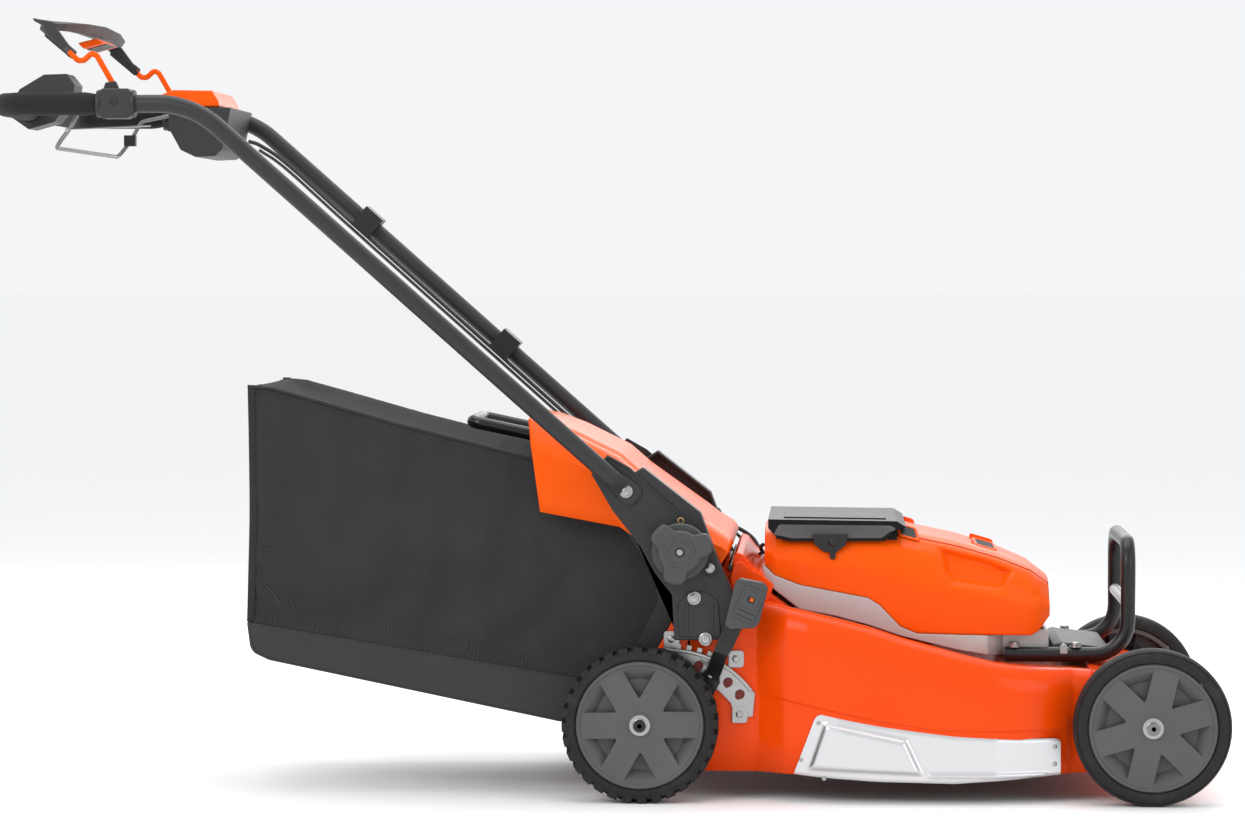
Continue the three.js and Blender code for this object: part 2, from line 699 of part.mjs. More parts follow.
// ---- rear flap and grass bag ----
const FLAP_SKIN = [[112, 318], [121, 338], [115, 351], [72, 375], [-6, 434], [-34, 457], [-97, 488], [-156, 510]];
const flapOuter = [...FLAP_SKIN, [-138, 386], [-30, 366], [40, 316], [104, 312]];
const flapInner = [[104, 322], [67, 360], [-9, 428], [-36, 453], [-98, 484], [-170, 511], [-190, 300], [110, 250]];
add('rear_flap', cut(prism('y', flapOuter, -205, 205), prism('y', flapInner, -201, 201)), ORANGE);
add('flap_hinge_rod', disc('y', 119, 311.5, 3.5, -200, 200, 10), ZINC);

const bagOuter = [[-540, 230.3], [-539, 548], [-533, 560], [-505, 556], [-277, 492], [-154, 459], [-62, 428]];
bagOuter.push([-40, 412], [48, 292], [24, 208], [-6, 142.6]);
const bagInner = [[-537, 180], [-536, 546], [-531, 556], [-505, 552.5], [-277, 488.5], [-154, 455.5], [-62, 424]];
bagInner.push([-36, 412], [60, 300], [40, 197], [10, 90]);
add('bag_fabric', cut(prism('y', bagOuter, -178, 178), prism('y', bagInner, -175, 175)), FABRIC);
const trayOuter = [[-540, 230], [-536, 194], [-512, 180], [-113, 98], [-60, 95], [-32, 106], [-6, 142.2]];
const trayInner = [[-537, 260], [-533, 196], [-511, 183.2], [-112, 101.2], [-61, 98.2], [-34, 109], [-12, 142], [-12, 200]];
add('bag_base', cut(prism('y', trayOuter, -179, 179), prism('y', trayInner, -175, 175)), BLACK);
const carryPath = rounded(
  [[-112, -85, 449], [-112, -85, 473], [-240, -85, 503], [-240, 85, 503], [-112, 85, 473], [-112, 85, 449]],
  [12, 22, 22, 12],
  4,
);
add('bag_handle', tube(carryPath, 9, 10), BLACK);

// ---- handle ----
const handlePath = rounded(
  [
    [HANDLE_FOOT[0], -TUBE_Y, HANDLE_FOOT[1]],
    [HANDLE_BEND[0], -TUBE_Y, HANDLE_BEND[1]],
    [HANDLE_REAR_X, -TUBE_Y, HANDLE_BEND[1]],
    [HANDLE_REAR_X, TUBE_Y, HANDLE_BEND[1]],
    [HANDLE_BEND[0], TUBE_Y, HANDLE_BEND[1]],
    [HANDLE_FOOT[0], TUBE_Y, HANDLE_FOOT[1]],
  ],
  [120, 42, 42, 120],
  4,
);
add('handle_tube', tube(handlePath, TUBE_R, 12), CHARCOAL);
const gripPath = handlePath.filter((p) => p.x < -800);
gripPath.unshift(new THREE.Vector3(-728, -TUBE_Y, HANDLE_BEND[1]));
gripPath.push(new THREE.Vector3(-728, TUBE_Y, HANDLE_BEND[1]));
add('grip_sleeve', sleeve(gripPath, 15.5, TUBE_R + GAP, 12), FOAM);

const STRAP = [[-66, 440], [-44, 466], [-14, 449], [60, 382], [86, 356], [92, 334], [80, 310], [56, 300]];
STRAP.push([32, 306], [16, 322], [-38, 392]);
function knob(side) {
  const star = [];
  for (let i = 0; i < 36; i += 1) {
    const a = (i / 36) * Math.PI * 2;
    const r = 36 + 8 * Math.cos(3 * (a - 0.31));
    star.push([FOLD_AXIS[0] + r * Math.cos(a), FOLD_AXIS[1] + r * Math.sin(a)]);
  }
  return union(
    prism('y', star, ...sided(side, 276, 292)),
    disc('y', ...FOLD_AXIS, 37, ...sided(side, 272, 277)),
    disc('y', ...FOLD_AXIS, 19, ...sided(side, 253.2, 273)),
    disc('y', ...FOLD_AXIS, 6, ...sided(side, 236, 254), 12),
  );
}
const boltAt = [-19, 417];
for (const [side, label] of SIDES) {
  add(`strap_${label}`, prism('y', STRAP, ...sided(side, 249.3, 252.7), [
    circle(...FOLD_AXIS, 6.5, 12),
    circle(...boltAt, 5, 10),
  ]), CHARCOAL);
  add(`fold_knob_${label}`, knob(side), DARK);
  add(`strap_bolt_${label}`, union(
    disc('y', ...boltAt, 9, ...sided(side, 253, 259), 6),
    disc('y', ...boltAt, 4.5, ...sided(side, 249.3, 254), 10),
  ), ZINC);
  const clampBody = box(-726, -679, ...sided(side, 249, 281), 919, 957);
  const bore = tube(
    [new THREE.Vector3(-740, side * TUBE_Y, HANDLE_BEND[1]), new THREE.Vector3(-660, side * TUBE_Y, HANDLE_BEND[1])],
    TUBE_R + GAP,
    12,
  );
  add(`bail_clamp_${label}`, cut(clampBody, bore), DARK);
}

// Upper bail: one wire arm each side, a wing-shaped crossbar and its trigger.
const bailWire = [[-707, 944], [-707, 958], [-730, 1000], [-739, 1004], [-749, 994], [-757, 994], [-772, 1009]];
for (const [side, label] of SIDES) {
  const path = rounded(bailWire.map(([x, z]) => [x, side * 244.5, z]), [4, 4, 4, 3, 4], 2);
  const eye = disc('y', ...BAIL_AXIS, 8, ...sided(side, 241, 248), 14);
  const pin = disc('y', ...BAIL_AXIS, 3.4, ...sided(side, 230, 260), 10);
  add(`bail_wire_${label}`, cut(union(tube(path, 3.5, 8), eye), pin), ORANGE);
}
function wing(y, reach, rise) {
  return [
    [-790 + reach, y, 1034 + 0.5 * rise],
    [-783 + reach, y, 1043 + rise],
    [-800 + 0.6 * reach, y, 1047 + 0.8 * rise],
    [-818, y, 1051 + 0.3 * rise],
    [-816, y, 1047 + 0.3 * rise],
    [-800, y, 1038 + 0.5 * rise],
  ];
}
const wingBody = loft([[-246, 0, 0], [-215, 8, 2], [-120, 18, 7], [0, 20, 10], [120, 18, 7], [215, 8, 2], [246, 0, 0]]
  .map((station) => wing(...station)));
const wingArms = [RIGHT, LEFT].map((side) => {
  const arm = [[-763, 1006], [-770, 999], [-800, 1032], [-806, 1046], [-792, 1046]];
  return prism('y', arm, ...sided(side, 239, 246.5));
});
const sockets = [RIGHT, LEFT].map((side) => {
  const path = bailWire.slice(4).map(([x, z]) => new THREE.Vector3(x, side * 244.5, z));
  path.push(new THREE.Vector3(-774, side * 244.5, 1011));
  return tube(path, 3.9, 8);
});
add('bail_crossbar', cut(union(wingBody, ...wingArms), ...sockets), DARK);
add('bail_trigger', prism('y', [[-768, 1034.5], [-757, 1028], [-786, 1020], [-794, 1028]], -54, 54), ORANGE);

// Drive bail below the grip.
const driveBail = rounded(
  [
    [BAIL_AXIS[0], -248.5, BAIL_AXIS[1]],
    [BAIL_AXIS[0], -236, BAIL_AXIS[1]],
    [-756, -236, 929],
    [-771, -236, 902],
    [-790, -236, 877],
    [-790, 236, 877],
    [-771, 236, 902],
    [-756, 236, 929],
    [BAIL_AXIS[0], 236, BAIL_AXIS[1]],
    [BAIL_AXIS[0], 248.5, BAIL_AXIS[1]],
  ],
  [6, 12, 20, 14, 14, 20, 12, 6],
  3,
);
add('drive_bail', tube(driveBail, 3, 8), CHARCOAL);
const clip = cut(
  box(-781, -764, 230, 242, 893, 909),
  tube([new THREE.Vector3(-752, 236, 932.8), new THREE.Vector3(-771, 236, 902), new THREE.Vector3(-790, 236, 877)], 3.6, 8),
);
add('drive_bail_clip', clip, BLACK);

// Switch pod on the middle of the crossbar.
const POD = [[-889, 942], [-888, 926], [-862, 908], [-826, 918], [-800, 950], [-797, 970], [-809, 985], [-840, 984]];
POD.push([-874, 964]);
const podBore = tube(
  [new THREE.Vector3(HANDLE_REAR_X, -80, HANDLE_BEND[1]), new THREE.Vector3(HANDLE_REAR_X, 20, HANDLE_BEND[1])],
  16.4,
  16,
);
add('switch_pod', cut(prism('y', POD, -62, -2), podBore), DARK);

// Control box on the left tube.
const CONTROL = [[-683, 942], [-683, 913], [-666, 882], [-645, 872], [-617, 873], [-607, 882], [-594, 942]];
const collarBody = box(-668, -648, 245, 283, 916, 953);
const collarBore = tube(
  [new THREE.Vector3(-690, TUBE_Y, HANDLE_BEND[1]), new THREE.Vector3(-630, TUBE_Y, HANDLE_BEND[1])],
  TUBE_R + GAP,
  12,
);
add('control_box', cut(union(prism('y', CONTROL, 40, 247.5), collarBody), collarBore), DARK);
const PANEL = [[-700, 943], [-701, 958], [-677, 967], [-622, 966], [-612, 950], [-612, 943]];
add('control_panel', cut(
  prism('y', PANEL.map(([x, z]) => [x, Math.max(z, 942.4)]), 45, 239),
  disc('z', -650, 150, 11.4, 955, 990, 16),
), ORANGE);
add('start_button', disc('z', -650, 150, 11, 958, 970, 16), BLACK);

// Control cable along the left tube, and its clips.
const upperRun = smooth([
  [-598.5, 238, 900], [-580, 243, 893], [-539, 244.5, 864], [-436, 244.5, 771], [-224, 244.5, 582],
  [-62, 244.5, 437],
], 20);
const CABLE_R = 3;
add('upper_cable', tube(upperRun, CABLE_R, 8), BLACK);
const lowerRun = smooth([
  [-36, 212, 413], [10, 212, 380], [63, 212, 352], [112, 213, 340], [140, 209, 324], [153, 196, 305],
  [157, 174, 300], [157, 130, 308], [155, 85, 318], [158.5, 66, 323],
], 20);
add('lower_cable', tube(lowerRun, CABLE_R, 8), BLACK);

const slope = Math.atan2(HANDLE_BEND[1] - HANDLE_FOOT[1], HANDLE_BEND[0] - HANDLE_FOOT[0]);
const along = [Math.cos(slope), Math.sin(slope)];
function cableClip(x) {
  const z = HANDLE_FOOT[1] + (x - HANDLE_FOOT[0]) * Math.tan(slope);
  const at = (t, n) => [x + along[0] * t + along[1] * n, z + along[1] * t - along[0] * n];
  const body = prism('y', [at(-16, -15.5), at(16, -15.5), at(16, 20), at(-16, 20)], 236, 281);
  const bore = (y, n, r, count) => {
    const a = at(-40, n);
    const b = at(40, n);
    return tube([new THREE.Vector3(a[0], y, a[1]), new THREE.Vector3(b[0], y, b[1])], r, count);
  };
  const cable = toManifold(tube(upperRun, CABLE_R + 0.5, 8));
  const held = toManifold(cut(body, bore(TUBE_Y, 0, TUBE_R + GAP, 12))).subtract(cable);
  return toGeometry(held);
}
add('cable_clip_upper', cableClip(-426), BLACK);
add('cable_clip_lower', cableClip(-224), BLACK);

export default group;
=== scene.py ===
import json
import math

import bmesh
import bpy
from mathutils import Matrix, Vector

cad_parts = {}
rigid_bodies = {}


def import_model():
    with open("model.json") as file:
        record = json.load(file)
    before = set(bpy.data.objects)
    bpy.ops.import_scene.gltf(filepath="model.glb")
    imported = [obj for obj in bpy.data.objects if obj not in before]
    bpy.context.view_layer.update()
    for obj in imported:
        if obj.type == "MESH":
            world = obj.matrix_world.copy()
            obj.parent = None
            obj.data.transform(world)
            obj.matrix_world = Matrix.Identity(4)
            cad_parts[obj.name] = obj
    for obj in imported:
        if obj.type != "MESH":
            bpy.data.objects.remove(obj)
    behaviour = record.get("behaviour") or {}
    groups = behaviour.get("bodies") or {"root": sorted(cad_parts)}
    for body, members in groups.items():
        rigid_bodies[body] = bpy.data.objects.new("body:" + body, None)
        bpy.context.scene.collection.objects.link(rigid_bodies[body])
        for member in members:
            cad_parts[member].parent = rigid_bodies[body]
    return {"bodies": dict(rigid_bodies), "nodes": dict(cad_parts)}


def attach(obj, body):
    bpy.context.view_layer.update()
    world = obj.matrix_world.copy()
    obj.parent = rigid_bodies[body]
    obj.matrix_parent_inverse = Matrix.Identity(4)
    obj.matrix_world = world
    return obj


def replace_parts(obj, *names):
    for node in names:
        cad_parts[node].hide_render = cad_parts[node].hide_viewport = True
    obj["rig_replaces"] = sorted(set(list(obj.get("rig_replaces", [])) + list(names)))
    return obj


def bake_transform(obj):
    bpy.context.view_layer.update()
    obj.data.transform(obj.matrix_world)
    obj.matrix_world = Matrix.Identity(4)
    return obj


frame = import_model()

# Lengths are millimetres with x measured from the rear axle; P() turns them into metres in the shared frame.
AXLE = 51.0
MM = 0.001
NODES, BODIES = frame["nodes"], frame["bodies"]
SIDES = (("right", -1), ("left", 1))
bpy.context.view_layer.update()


def P(x, y, z):
    return Vector(((x + AXLE) * MM, y * MM, z * MM))


def turn(count, offset=0.0):
    """Angles of equal steps round a circle."""
    return [2 * math.pi * (k + offset) / count for k in range(count)]


# ---------------------------------------------------------------- materials

def material(name, colour, rough, metallic=0.0, blotch=0.06, blotch_scale=9.0, grain=0.15,
             grain_scale=420.0, rough_spread=0.06, coat=0.0, sheen=0.0, specular=0.5,
             stretch=(1, 1, 1), dust=0.0):
    """A surface with slow colour drift, finer roughness change and a bumped grain."""
    mat = bpy.data.materials.new(name)
    mat.use_nodes = True
    tree = mat.node_tree
    node, link = tree.nodes.new, tree.links.new
    shader = tree.nodes["Principled BSDF"]
    shader.inputs["Metallic"].default_value = metallic
    shader.inputs["Coat Weight"].default_value = coat
    shader.inputs["Coat Roughness"].default_value = 0.08
    shader.inputs["Sheen Weight"].default_value = sheen
    shader.inputs["Specular IOR Level"].default_value = specular
    where = node("ShaderNodeTexCoord")
    mapping = node("ShaderNodeMapping")
    mapping.inputs["Scale"].default_value = stretch
    link(where.outputs["Object"], mapping.inputs["Vector"])

    def noise(scale, detail):
        n = node("ShaderNodeTexNoise")
        n.inputs["Scale"].default_value = scale
        n.inputs["Detail"].default_value = detail
        link(mapping.outputs["Vector"], n.inputs["Vector"])
        return n

    drift, fine, rub = noise(blotch_scale, 4), noise(grain_scale, 3), noise(blotch_scale * 5, 6)
    ramp = node("ShaderNodeValToRGB")
    ramp.color_ramp.elements[0].position, ramp.color_ramp.elements[1].position = 0.3, 0.7
    for element, k in zip(ramp.color_ramp.elements, (1 - blotch, 1 + blotch)):
        element.color = (*(min(1.0, c * k) for c in colour), 1)
    link(drift.outputs["Fac"], ramp.inputs["Fac"])
    last = ramp.outputs["Color"]
    if dust:
        mix = node("ShaderNodeMix")
        mix.data_type = "RGBA"
        mix.inputs["B"].default_value = (0.32, 0.31, 0.3, 1)
        spots = node("ShaderNodeMapRange")
        spots.inputs["From Min"].default_value, spots.inputs["From Max"].default_value = 0.52, 0.8
        spots.inputs["To Max"].default_value = dust
        link(rub.outputs["Fac"], spots.inputs["Value"])
        link(spots.outputs["Result"], mix.inputs["Factor"])
        link(last, mix.inputs["A"])
        last = mix.outputs["Result"]
    link(last, shader.inputs["Base Color"])
    spread = node("ShaderNodeMapRange")
    spread.inputs["To Min"].default_value = max(0.02, rough - rough_spread)
    spread.inputs["To Max"].default_value = min(1.0, rough + rough_spread)
    link(rub.outputs["Fac"], spread.inputs["Value"])
    link(spread.outputs["Result"], shader.inputs["Roughness"])
    bump = node("ShaderNodeBump")
    bump.inputs["Strength"].default_value = grain
    bump.inputs["Distance"].default_value = 0.0006
    link(fine.outputs["Fac"], bump.inputs["Height"])
    link(bump.outputs["Normal"], shader.inputs["Normal"])
    return mat


def woven(name, dark, light, scale=190.0, strength=0.5):
    """Cloth: two crossed bands of thread over a slow unevenness."""
    mat = material(name, light, 0.9, blotch=0.12, blotch_scale=14, grain=0.3, sheen=0.05, specular=0.15)
    tree = mat.node_tree
    node, link = tree.nodes.new, tree.links.new
    shader = tree.nodes["Principled BSDF"]
    base = shader.inputs["Base Color"].links[0].from_socket
    where = node("ShaderNodeTexCoord")
    turned = node("ShaderNodeMapping")
    turned.inputs["Rotation"].default_value = (0.0, math.radians(38), math.radians(45))
    link(where.outputs["Object"], turned.inputs["Vector"])
    bands = []
    for axis in ("X", "Z"):
        wave = node("ShaderNodeTexWave")
        wave.bands_direction = axis
        wave.inputs["Scale"].default_value = scale
        wave.inputs["Distortion"].default_value = 0.6
        wave.inputs["Detail Scale"].default_value = 3.0
        link(turned.outputs["Vector"], wave.inputs["Vector"])
        bands.append(wave)
    high = node("ShaderNodeMath")
    high.operation = "MAXIMUM"
    for k, wave in enumerate(bands):
        link(wave.outputs["Fac"], high.inputs[k])
    mix = node("ShaderNodeMix")
    mix.data_type = "RGBA"
    mix.inputs["A"].default_value = (*dark, 1)
    link(high.outputs["Value"], mix.inputs["Factor"])
    link(base, mix.inputs["B"])
    link(mix.outputs["Result"], shader.inputs["Base Color"])
    bump = node("ShaderNodeBump")
    bump.inputs["Strength"].default_value = strength
    bump.inputs["Distance"].default_value = 0.0005
    link(high.outputs["Value"], bump.inputs["Height"])
    link(bump.outputs["Normal"], shader.inputs["Normal"])
    return mat


PAINT = material("orange_enamel", (0.79, 0.060, 0.001), 0.24, coat=0.08, specular=0.12, blotch=0.03,
                 grain=0.05, grain_scale=160, rough_spread=0.04)
SHELL = material("orange_moulding", (0.83, 0.092, 0.002), 0.30, coat=0.04, specular=0.08, blotch=0.03,
                 grain=0.10, grain_scale=600)
CHARCOAL = material("charcoal_powder_coat", (0.020, 0.0205, 0.0215), 0.42, specular=0.35, grain=0.35,
                    grain_scale=900)
BLACK_COAT = material("black_enamel", (0.009, 0.009, 0.0095), 0.34, coat=0.05, specular=0.35, grain=0.1,
                      grain_scale=500)
ALU = material("brushed_aluminium", (0.63, 0.635, 0.645), 0.34, metallic=1.0, blotch=0.05, grain=0.08,
               grain_scale=180, stretch=(0.06, 1, 1))
SATIN = material("satin_silver", (0.44, 0.43, 0.425), 0.42, metallic=0.45, blotch=0.03, grain=0.06)
ZINC = material("zinc_plate", (0.36, 0.36, 0.355), 0.3, metallic=1.0, blotch=0.08, grain=0.1)
STEEL = material("dark_steel", (0.2, 0.2, 0.205), 0.4, metallic=0.9, blotch=0.1, grain=0.12)
BRASS = material("yellow_zinc", (0.62, 0.42, 0.16), 0.35, metallic=1.0, blotch=0.1)
COPPER = material("copper_winding", (0.62, 0.25, 0.1), 0.4, metallic=1.0, blotch=0.15)
BLACK = material("black_plastic", (0.010, 0.010, 0.0105), 0.45, specular=0.35, grain=0.3, grain_scale=700)
GLOSSY = material("gloss_black_plastic", (0.008, 0.008, 0.0085), 0.24, coat=0.05, specular=0.4, grain=0.08)
GREY = material("grey_plastic", (0.052, 0.053, 0.055), 0.46, specular=0.35, grain=0.25, grain_scale=800)
POD = material("dark_grey_plastic", (0.021, 0.0215, 0.023), 0.46, specular=0.35, grain=0.35, grain_scale=900)
RIM = material("rim_plastic", (0.078, 0.078, 0.080), 0.46, specular=0.35, grain=0.25, grain_scale=800)
TYRE = material("tyre_rubber", (0.0105, 0.0105, 0.011), 0.66, specular=0.3, grain=0.5, grain_scale=300,
                dust=0.05)
SMOKE = material("smoked_plastic", (0.012, 0.0125, 0.013), 0.3, specular=0.05, grain=0.02, blotch=0.1)
# a lighter, streaked copy of the smoked plastic for the lid's side facets: painted reflection
SMOKE_REFLECTION = material("smoked_plastic_painted_reflection", (0.075, 0.076, 0.078), 0.22, coat=0.1, specular=0.4, blotch=0.35,
                      blotch_scale=9, grain=0.02, stretch=(1, 1, 3))
FOAM = material("grip_foam", (0.013, 0.013, 0.0135), 0.85, specular=0.25, grain=0.9, grain_scale=900,
                sheen=0.05)
CLOTH = woven("bag_twill", (0.010, 0.010, 0.0105), (0.040, 0.040, 0.041))
BINDING = woven("bag_binding", (0.012, 0.012, 0.013), (0.035, 0.035, 0.037), scale=320.0)
THREAD = material("stitching", (0.05, 0.05, 0.052), 0.8, grain=0.6, grain_scale=1500)
CABLE = material("cable_jacket", (0.019, 0.019, 0.02), 0.5, grain=0.25, grain_scale=900)
# flat dark sheets laid in vents, sockets, grooves, windows, bores and recesses: painted shade of the openings
HOLE_SHADE = material("painted_hole_shade", (0.006, 0.006, 0.006), 0.6)
RED_SHADE = material("slot_shade", (0.12, 0.006, 0.003), 0.6)
GREEN = material("start_green", (0.045, 0.3, 0.09), 0.35, coat=0.2)
BATTERY = material("battery_casing", (0.03, 0.031, 0.033), 0.5, grain=0.4)

# slot names by material; finish_mesh looks up a piece's slot here unless the piece names another or None, but
# does not keep it
SLOTS = {mat.name: slot for slot, mats in (
    ("orange_paint", [PAINT]), ("orange_plastic", [SHELL]), ("aluminium", [ALU, SATIN]), ("tyre", [TYRE]),
    ("black_plastic", [BLACK, GLOSSY, HOLE_SHADE, POD, CABLE, BATTERY]), ("grey_plastic", [GREY, GREEN]),
    ("smoked_plastic", [SMOKE, SMOKE_REFLECTION]), ("charcoal_paint", [BLACK_COAT, CHARCOAL]),
    ("rim_plastic", [RIM]),
    ("zinc_steel", [ZINC, BRASS]), ("dark_steel", [STEEL, COPPER]), ("grip_foam", [FOAM]),
    ("bag_fabric", [CLOTH, BINDING, THREAD])) for mat in mats}


# ---------------------------------------------------------------- geometry

def rounded(points, radius, steps=6, closed=True):
    """A polyline with its corners turned into arcs; radius is one number or one per corner."""
    pts = [Vector(p) for p in points]
    count = len(pts)
    radii = radius if hasattr(radius, "__len__") else [radius] * count
    out = []
    for i, p in enumerate(pts):
        r = radii[i]
        if r <= 0 or (not closed and i in (0, count - 1)):
            out.append(p)
            continue
        a, b = pts[i - 1] - p, pts[(i + 1) % count] - p
        la, lb = a.length, b.length
        a.normalize()
        b.normalize()
        half = math.acos(max(-1.0, min(1.0, a.dot(b)))) / 2
        if half > math.radians(88.5) or half < math.radians(3):
            out.append(p)
            continue
        cut = min(r / math.tan(half), 0.48 * la, 0.48 * lb)
        r = cut * math.tan(half)
        centre = p + (a + b).normalized() * (r / math.sin(half))
        s, e = p + a * cut - centre, p + b * cut - centre
        total = math.pi - 2 * half
        for k in range(steps + 1):
            t = k / steps
            out.append(centre + s * (math.sin((1 - t) * total) / math.sin(total))
                       + e * (math.sin(t * total) / math.sin(total)))
    return out


def curve(points, steps=6):
    """A Catmull-Rom line through the points."""
    pts = [Vector(p) for p in points]
    n = len(pts)
    out = []
    for i in range(n - 1):
        p1, p2 = pts[i], pts[i + 1]
        p0 = pts[i - 1] if i else p1 * 2 - p2
        p3 = pts[i + 2] if i < n - 2 else p2 * 2 - p1
        for k in range(steps):
            t = k / steps
            out.append(0.5 * ((2 * p1) + (p2 - p0) * t + (2 * p0 - 5 * p1 + 4 * p2 - p3) * t * t
                              + (3 * p1 - p0 - 3 * p2 + p3) * t ** 3))
    out.append(pts[-1])
    return out


def finish_mesh(name, bm, mat, body, node=None, slot="by material", bevel=0.0, segments=2, angle=28.0,
                sharp=32.0, shell=0.0, inside=None):
    """Turn a bmesh into a piece; body None leaves it free, for a blend or a later ride."""
    bmesh.ops.recalc_face_normals(bm, faces=bm.faces)
    mesh = bpy.data.meshes.new(name)
    bm.to_mesh(mesh)
    bm.free()
    mesh.polygons.foreach_set("use_smooth", [True] * len(mesh.polygons))
    mesh.set_sharp_from_angle(angle=math.radians(sharp))
    obj = bpy.data.objects.new(name, mesh)
    bpy.context.scene.collection.objects.link(obj)
    mesh.materials.append(mat)
    if shell:
        m = obj.modifiers.new("thickness", "SOLIDIFY")
        m.thickness, m.offset = shell * MM, -1
        if inside:
            mesh.materials.append(inside)
            m.material_offset = 1
    if bevel:
        m = obj.modifiers.new("soft_edges", "BEVEL")
        m.width, m.segments = bevel * MM, segments
        m.limit_method, m.angle_limit = "ANGLE", math.radians(angle)
        m.harden_normals = True
        m.miter_outer = "MITER_ARC"
    if body:
        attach(obj, body)
    if node:
        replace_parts(obj, node)
    if slot == "by material":
        slot = SLOTS.get(mat.name)
    return obj


def band(bm, a, b, closed=True):
    """Four-sided faces between two rings of vertices."""
    for j in range(len(a) if closed else len(a) - 1):
        k = (j + 1) % len(a)
        bm.faces.new((a[j], a[k], b[k], b[j]))


def rings_mesh(rings, closed_ring=True, caps=True, closed_path=False):
    bm = bmesh.new()
    grid = [[bm.verts.new(v) for v in ring] for ring in rings]
    for i in range(len(grid) if closed_path else len(grid) - 1):
        band(bm, grid[i], grid[(i + 1) % len(grid)], closed_ring)
    if caps and closed_ring and not closed_path:
        bm.faces.new(grid[0][::-1])
        bm.faces.new(grid[-1])
    return bm


def loft(name, rings, mat, body, closed_ring=True, caps=True, **kw):
    return finish_mesh(name, rings_mesh(rings, closed_ring, caps), mat, body, **kw)


def prism(name, outline, y0, y1, mat, body, **kw):
    """An (x, z) outline in millimetres, straight across from y0 to y1."""
    rings = [[P(p[0], y, p[1]) for p in outline] for y in (y0, y1)]
    return loft(name, rings, mat, body, **kw)


def frames_along(path):
    """Tangent and two normals at each point, turned as little as possible from one to the next."""
    tangents = []
    for i in range(len(path)):
        tangents.append((path[min(i + 1, len(path) - 1)] - path[max(i - 1, 0)]).normalized())
    up = Vector((0, 1, 0)) if abs(tangents[0].y) < 0.9 else Vector((0, 0, 1))
    normal = (up - tangents[0] * up.dot(tangents[0])).normalized()
    out = []
    for t in tangents:
        normal = (normal - t * normal.dot(t)).normalized()
        out.append((t, normal, t.cross(normal)))
    return out


def tube_mesh(path, radius, sides=24):
    """path in metres, radius in millimetres: one number or one per point."""
    radii = radius if hasattr(radius, "__len__") else [radius] * len(path)
    rings = []
    for p, (_, n, b), r in zip(path, frames_along(path), radii):
        rings.append([p + (n * math.cos(a) + b * math.sin(a)) * r * MM for a in turn(sides)])
    return rings_mesh(rings)


def tube(name, path, radius, mat, body, sides=24, **kw):
    return finish_mesh(name, tube_mesh(path, radius, sides), mat, body, **kw)


def lathe(name, profile, x, z, mat, body, y_sign=1.0, sides=48, **kw):
    """(radius, y) profile in millimetres turned about the Y line through (x, z)."""
    rings = [[P(x + r * math.cos(a), y_sign * y, z + r * math.sin(a)) for r, y in profile]
             for a in turn(sides)]
    bm = rings_mesh(rings, caps=False, closed_path=True)
    bmesh.ops.remove_doubles(bm, verts=bm.verts, dist=1e-7)
    return finish_mesh(name, bm, mat, body, **kw)


def stud(name, x, y, z, radius, height, mat, body, side=-1, hexagon=False, dome=0.0, **kw):
    """A screw, rivet or bolt head standing out along Y from y, towards side."""
    sides = 6 if hexagon else 24
    rows = [(1.0, 0.0), (1.0, 0.62), (0.93, 0.86), (0.72, 1.0)] if not dome else [(1.0, 0.0), (1.0, 0.25),
            (0.94, 0.55), (0.76, 0.82), (0.45, 0.97)]
    rings = []
    for r, h in rows:
        rings.append([P(x + radius * r * math.cos(a), y + side * height * h, z + radius * r * math.sin(a))
                      for a in turn(sides, 0.5)])
    return loft(name, rings, mat, body, **({"sharp": 50} | kw))


def cross_bolt(name, x, y, z, radius, mat, body, side=-1, washer=0.0):
    """A flanged hexagon bolt with its washer, on a face that looks along Y."""
    if washer:
        stud(name + "_washer", x, y, z, washer, 1.4, mat, body, side, sharp=40, slot=None)
        y += side * 1.2
    stud(name + "_flange", x, y, z, radius * 1.35, 1.6, mat, body, side, dome=1.0, slot=None)
    return stud(name, x, y + side * 1.0, z, radius, radius * 0.62, mat, body, side, hexagon=True, slot=None)


def from_node(node, mat, bevel=0.8, segments=2, **kw):
    """A softened copy of a CAD node that takes the node's place in the picture."""
    src = NODES[node]
    bm = bmesh.new()
    bm.from_mesh(src.data)
    bmesh.ops.remove_doubles(bm, verts=bm.verts, dist=3e-5)
    bmesh.ops.dissolve_limit(bm, angle_limit=math.radians(1.5), verts=bm.verts, edges=bm.edges,
                             use_dissolve_boundaries=False)
    body = next(b for b, e in BODIES.items() if e == src.parent)
    return finish_mesh("vis_" + node, bm, mat, body, node=node, bevel=bevel, segments=segments, **kw)


# ---------------------------------------------------------------- wheels

REAR_X, FRONT_X, WHEEL_Z = 0.0, 682.0, 105.0


def polar(x, r, deg):
    a = math.radians(deg)
    return x + r * math.cos(a), WHEEL_Z + r * math.sin(a)


